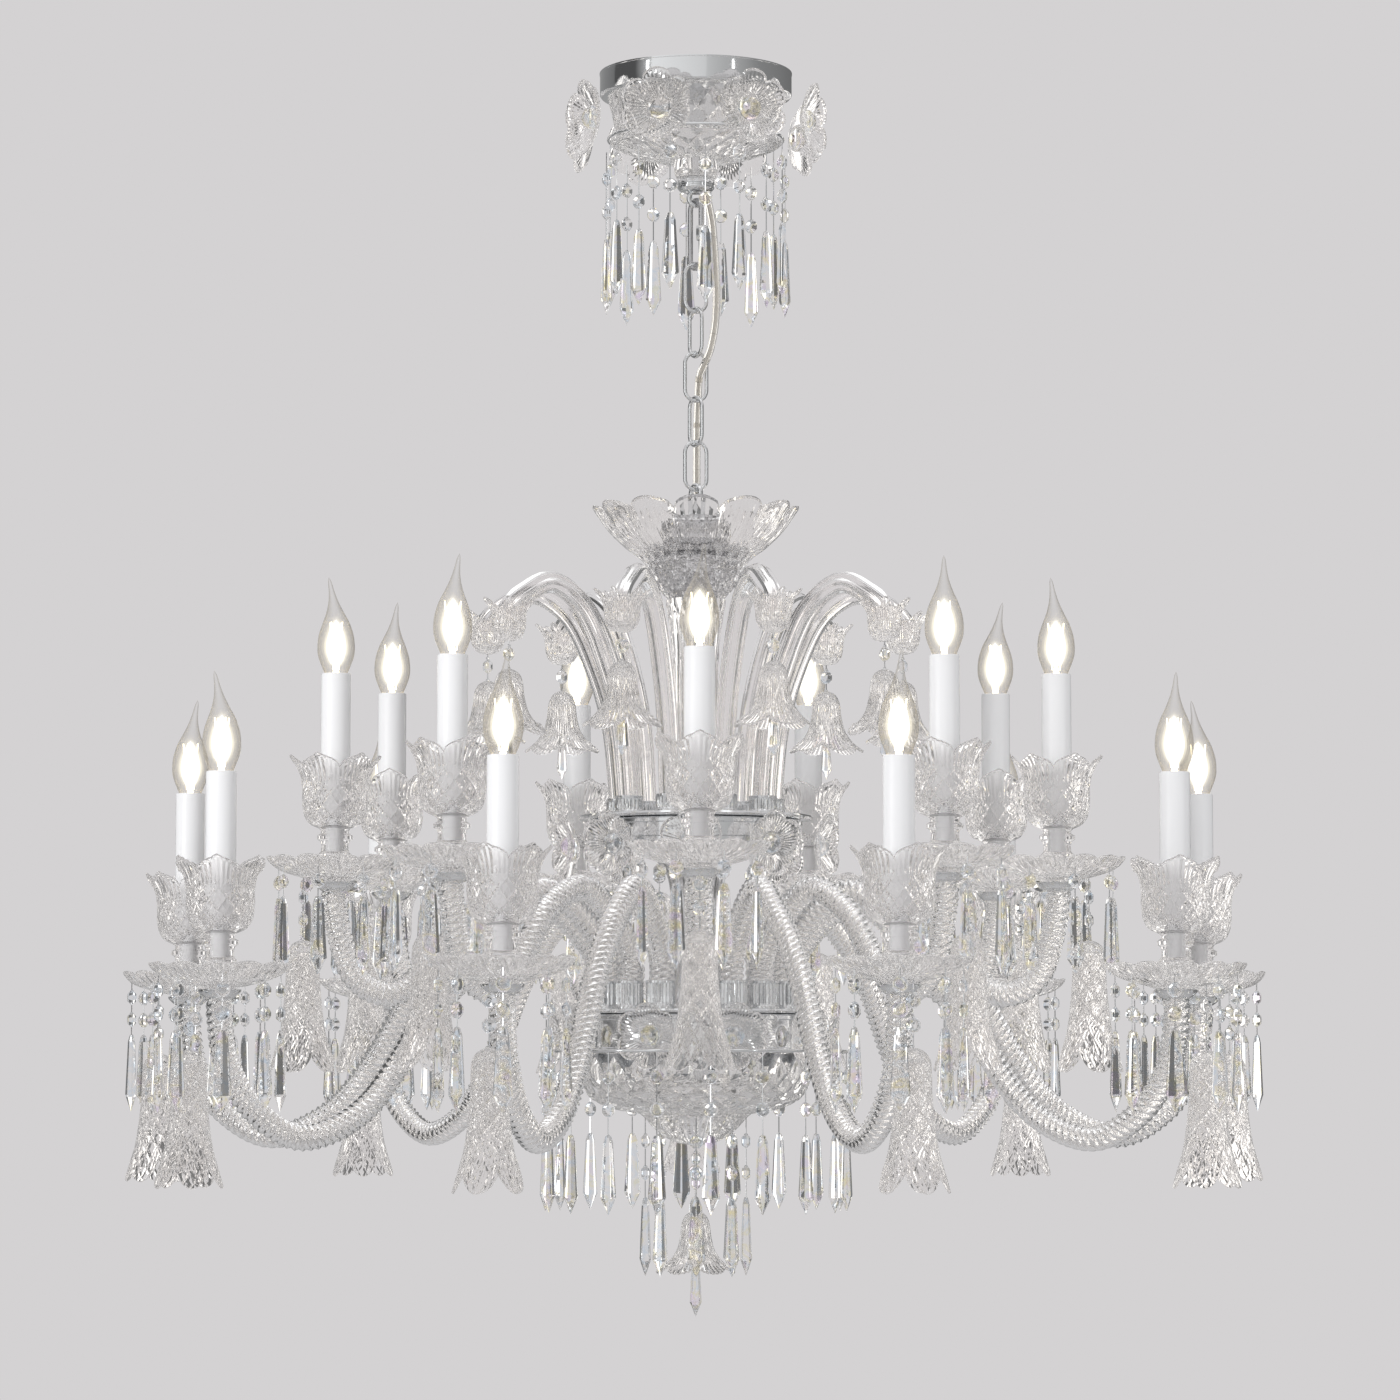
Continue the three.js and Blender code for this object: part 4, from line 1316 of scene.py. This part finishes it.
def make_crook():
    across = crook_reach - crook_ring
    route = [(crook_ring + out * across, 0, up * crook_rise) for out, up in crook_shares]
    route += [(crook_reach, 0, crook_end + crook_radius), (crook_reach, 0, crook_end)]
    points, _ = even_points(route, 6)
    return tube_mesh("crook", points, crook_radius, profile=lobed(crook_radius, 8, 1.6, 48), smooth_angle=40)


def make_tulip():
    """A cup of six pointed petals, from its foot at the origin."""
    outside = smooth([(5, 0), (12, 3), (16, 12), (16.5, 24), (19, 36)], 4)
    inside = smooth([(17, 37), (14, 25), (13, 14), (9, 8), (0, 7)], 4)
    rows = [(0, 0), *outside, *inside]
    shape = diamond_cut(turned(rows, 72), 72, len(rows) - 1, 3, 15, 12, 1.4, width=3)

    def petals(r, angle, height, along):
        share = min(1, max(0, (height - 14) / 22))
        tip = max(0, math.cos(6 * angle))
        return r + share**2 * (tip * 10 - 2), angle, height + share**2 * (tip * 8 - 5)

    return as_mesh(reshape(shape, petals), "tulip", smooth_angle=20)


def make_bell_flower(radius, height):
    """A ruffled bell that hangs from the origin."""
    outside = smooth([(3, 0), (9, -0.06 * height), (13, -0.2 * height), (14.5, -0.42 * height),
                      (18, -0.66 * height), (0.75 * radius, -0.86 * height), (radius, -0.97 * height)], 4)
    inside = smooth([(0.97 * radius, -height), (0.7 * radius, -0.9 * height), (15, -0.68 * height),
                     (11.5, -0.42 * height), (9, -0.2 * height), (0, -0.1 * height)], 4)
    shape = turned([(0, 0), *outside, *inside], 96)

    def ruffle(r, angle, level, along):
        share = max(0, (r - 15) / (radius - 15))
        lobe = abs(math.cos(3 * angle)) ** 0.6
        rib = math.cos(48 * angle) * 0.35 * min(share * 2, 1)
        return r + share**2 * (lobe - 0.65) * 7, angle, level + rib - share**2 * (lobe - 0.75) * 8

    return as_mesh(reshape(shape, ruffle), "bell_flower", smooth_angle=50)


crook_mesh, tulip_mesh, flower_bell = make_crook(), make_tulip(), make_bell_flower(34, 58)
small_prism = make_prism(length=44, width=12)
tray_radius = 110


def make_tray(radius, thickness=4):
    half = thickness / 2
    return as_mesh(turned([
        (stem_hole, 0), (radius - 3, 0), (radius - 1, -0.3), (radius, -half), (radius - 1, -thickness + 0.3),
        (radius - 3, -thickness), (stem_hole, -thickness), (stem_hole, 0),
    ], 128), "tray")


place("upper_tray", make_tray(tray_radius), [chrome], hung, "chrome", ["crook_tray"],
      shift(z=crook_tray_top))
crook_ferrule = make_ferrule(13, 17, flutes=20)
crook_places = [out_at(20 + 40 * i, 0, crook_tray_top) for i in range(9)]


def crook_pieces(name, mesh, finish, slot, matrix=Matrix.Identity(4)):
    pieces = merged(name, [(mesh, p @ matrix) for p in crook_places])
    place(name, pieces, [finish], hung, slot, ["crook_tray"])


drawn_glass = glass("drawn_glass", waviness=0.05, tint=(0.978, 0.958, 0.952, 1), roughness=(0.10, 0.20))
crook_pieces("crooks", crook_mesh, drawn_glass, "crystal")
crook_pieces("crook_ferrules", crook_ferrule, chrome, "chrome", shift(x=crook_ring))
for name, mesh, finish, below in (
    ("crook_tulips", tulip_mesh, petal_glass, 20), ("crook_beads", bead_mesh, prism_glass, 32),
    ("crook_bell_flowers", flower_bell, petal_glass, 46),
):
    crook_pieces(name, mesh, finish, "crystal", shift(x=crook_reach, z=crook_end - below))
crook_pins = hung_pins("crook_pins", [(4, crook_end - 19), (6, crook_end - 38), (32, crook_end - 53)])
crook_pieces("crook_pins", crook_pins, chrome, "chrome", shift(x=crook_reach))
crook_pieces("crook_prisms", small_prism, prism_glass, "crystal", shift(x=crook_reach, z=crook_end - 88))

# %% [markdown]
# ## Bands, bowls and lower drops
# Two chrome bands carry ten rosettes each. Between them stands a silvered bowl that narrows to a column,
# and under the lower band hang the diamond-cut bowl, a small dish and the rings of strings.

# %% Bands, bowls and lower drops
upper_band_top, lower_band_top = -710.9, -892.8


def make_band(radius, height, wall=3.0):
    return as_mesh(turned([
        (stem_hole, 0), (radius - 5, 0), (radius - 1.2, -0.6), (radius, -2), (radius, -5), (radius - 1.5, -6),
        (radius - 1.5, -height + 5), (radius, -height + 4), (radius, -height), (radius - wall, -height),
        (radius - wall, -wall), (stem_hole, -wall), (stem_hole, 0),
    ], 128), "band")


def make_grey_bowl():
    top, foot = -714.2, -888.2
    outline = smooth([(58, top), (55, top - 14), (45, top - 28), (32, top - 40), (25, top - 56),
                      (23, top - 90), (24, top - 130), (30, top - 156), (38, foot)], 5)
    return as_mesh(turned([(stem_hole, top), *outline, (stem_hole, foot), (stem_hole, top)], 96), "grey_bowl")


place("upper_band", make_band(100, 23), [chrome], hung, "chrome", ["upper_flower_band"],
      shift(z=upper_band_top))
flower_ring("upper_band_flowers", 30, 10, -2.5, 123, upper_band_top - 26, hung, "upper_flower_band")
string_ring("upper_band_strings", make_string(138, 2), 9, 68, upper_band_top - 4, hung, ["upper_flower_band"],
            first=10)
place("grey_column", make_grey_bowl(), [silvered_glass], hung, "crystal", ["middle_column"])
place("lower_tray_plate", make_tray(120), [chrome], hung, "chrome", ["lower_tray"], shift(z=tray_top))
place("lower_band", make_band(112, 36), [chrome], hung, "chrome", ["lower_flower_band"],
      shift(z=lower_band_top))
flower_ring("lower_band_flowers", 30, 10, -20, 125, lower_band_top - 21, hung, "lower_flower_band")
hoop_height = lower_band_top - 36
place("outer_hoop", make_wire_ring(141, 1.5, 128), [chrome], hung, "chrome", ["lower_flower_band"],
      shift(z=hoop_height + 1.5))
string_ring("outer_strings", make_string(148, 2), 18, 141, hoop_height, hung, ["lower_flower_band"], first=5)


def make_cut_bowl():
    foot, top = (corner.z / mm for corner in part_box("cut_crystal_bowl"))
    outside = smooth([(54, foot), (80, foot + 5), (99, foot + 15), (108, foot + 32), (110, top)], 5)
    inside = smooth([(105, top), (103, foot + 32), (94, foot + 18), (76, foot + 10), (50, foot + 5)], 5)
    rows = [(stem_hole, foot), *outside, *inside, (stem_hole, foot + 5), (stem_hole, foot)]
    shape = diamond_cut(turned(rows, 144), 144, len(rows) - 1, 2, 20, 6, 1.8, width=2)
    return as_mesh(shape, "cut_bowl", smooth_angle=20)


def make_dish():
    foot, top = -1013.4, -985.4
    outline = smooth([(0, foot), (12, foot), (26, foot + 5), (38, foot + 14), (46, foot + 24), (50, top)], 4)
    shape = turned([*outline, (0, top)], 96)

    def petals(r, angle, height, along):
        share = max(0, (r - 30) / 20)
        return r + share**2 * (abs(math.cos(4 * angle)) ** 0.6 - 0.7) * 7, angle, height

    return as_mesh(reshape(shape, petals), "dish")


place("diamond_bowl", make_cut_bowl(), [bowl_glass], hung, "crystal", ["cut_crystal_bowl"])
place("small_dish", make_dish(), [petal_glass], hung, "crystal", ["bottom_dish"])
string_ring("inner_strings", make_string(148, 2), 8, 47, -988, hung, ["bottom_dish"])

# %% [markdown]
# ## Bottom pendant
# Two beads, a bell flower and a prism hang under the dish on pins, and swing free of it.

# %% Bottom pendant
pendant_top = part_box("bottom_pendant")[1].z / mm
pendant_bell = make_bell_flower(35, 56)
pendant_stones = merged("pendant_stones", [
    (bead_mesh, shift(z=-13)), (bead_mesh, shift(z=-36)), (make_prism(length=62), shift(z=-98)),
])
pendant_pins = hung_pins("pendant_pins", [(6, 0), (6, -20), (18, -44)])
at_pendant = shift(z=pendant_top)
for name, mesh, finish, slot, matrix in (
    ("pendant_stones", pendant_stones, prism_glass, "crystal", at_pendant),
    ("pendant_pins", pendant_pins, chrome, "chrome", at_pendant),
    ("pendant_bell_flower", pendant_bell, petal_glass, "crystal", at_pendant @ shift(z=-62)),
):
    place(name, mesh, [finish], "bottom_pendant", slot, ["bottom_pendant"], matrix)

# %% [markdown]
# ## Supply cable
# A clear cable runs beside the chain and weaves through its middle link. It has to follow the chain when
# it swings, so it is made in lengths that each bend between two neighbouring links.

# %% Supply cable
cable_route = [
    (11, -5, -114.2), (11.3, -5.2, -121), (13.4, -6.8, -133), (15.6, -7.8, -146), (17, -8, -162),
    (18.5, -7.5, -185), (19.5, -7, -210), (18.5, -6.5, -238), (14.5, -5.5, -262), (9, -3.4, -277),
    (4, 0.5, -288), (2.6, 5, -298), (2.2, 9.2, -308), (1.8, 11.8, -320), (1.2, 12.6, -340),
    (1, 13, -370), (1, 13, -405), (1, 13, -433.4),
]
cable_radius = 3.7
chain_bodies = [ceiling, "quick_link", *links, hung]
hinge_heights = [joint["pos_m"][2] / mm for joint in frame["joints"] if joint["name"].endswith("_swing")][:7]


def make_cable():
    points, length = even_points(cable_route, 4)
    cuts = [points[0].z, *[(a + b) / 2 for a, b in zip(hinge_heights, hinge_heights[1:])], points[-1].z]
    for k, (top, low) in enumerate(zip(cuts, cuts[1:])):
        inside = [p for p in points if low - 2.5 <= p.z <= top + 2.5]
        for label, radius, finish in (("sheath", cable_radius, cable_sheath), ("core", 1.3, cable_core)):
            mesh = tube_mesh(f"cable_{label}_{k + 1}", [tuple(p) for p in inside], radius, resolution=4)
            piece = place(f"cable_{label}_{k + 1}", mesh, [finish], chain_bodies[k], "cable", ["power_cable"])
            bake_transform(unparented(piece), chain_bodies[k], chain_bodies[k + 1],
                     start=(0, 0, top * mm), end=(0, 0, low * mm))
    print("cable length:", round(length), "mm")


def unparented(piece):
    world = piece.matrix_world.copy()
    piece.parent = None
    piece.matrix_world = world
    return piece


make_cable()

# %% Sizes
triangles = sum(len(piece.data.loop_triangles) or len(piece.data.polygons) * 2 for piece in placed)
print("pieces:", len(placed), "triangles:", triangles)
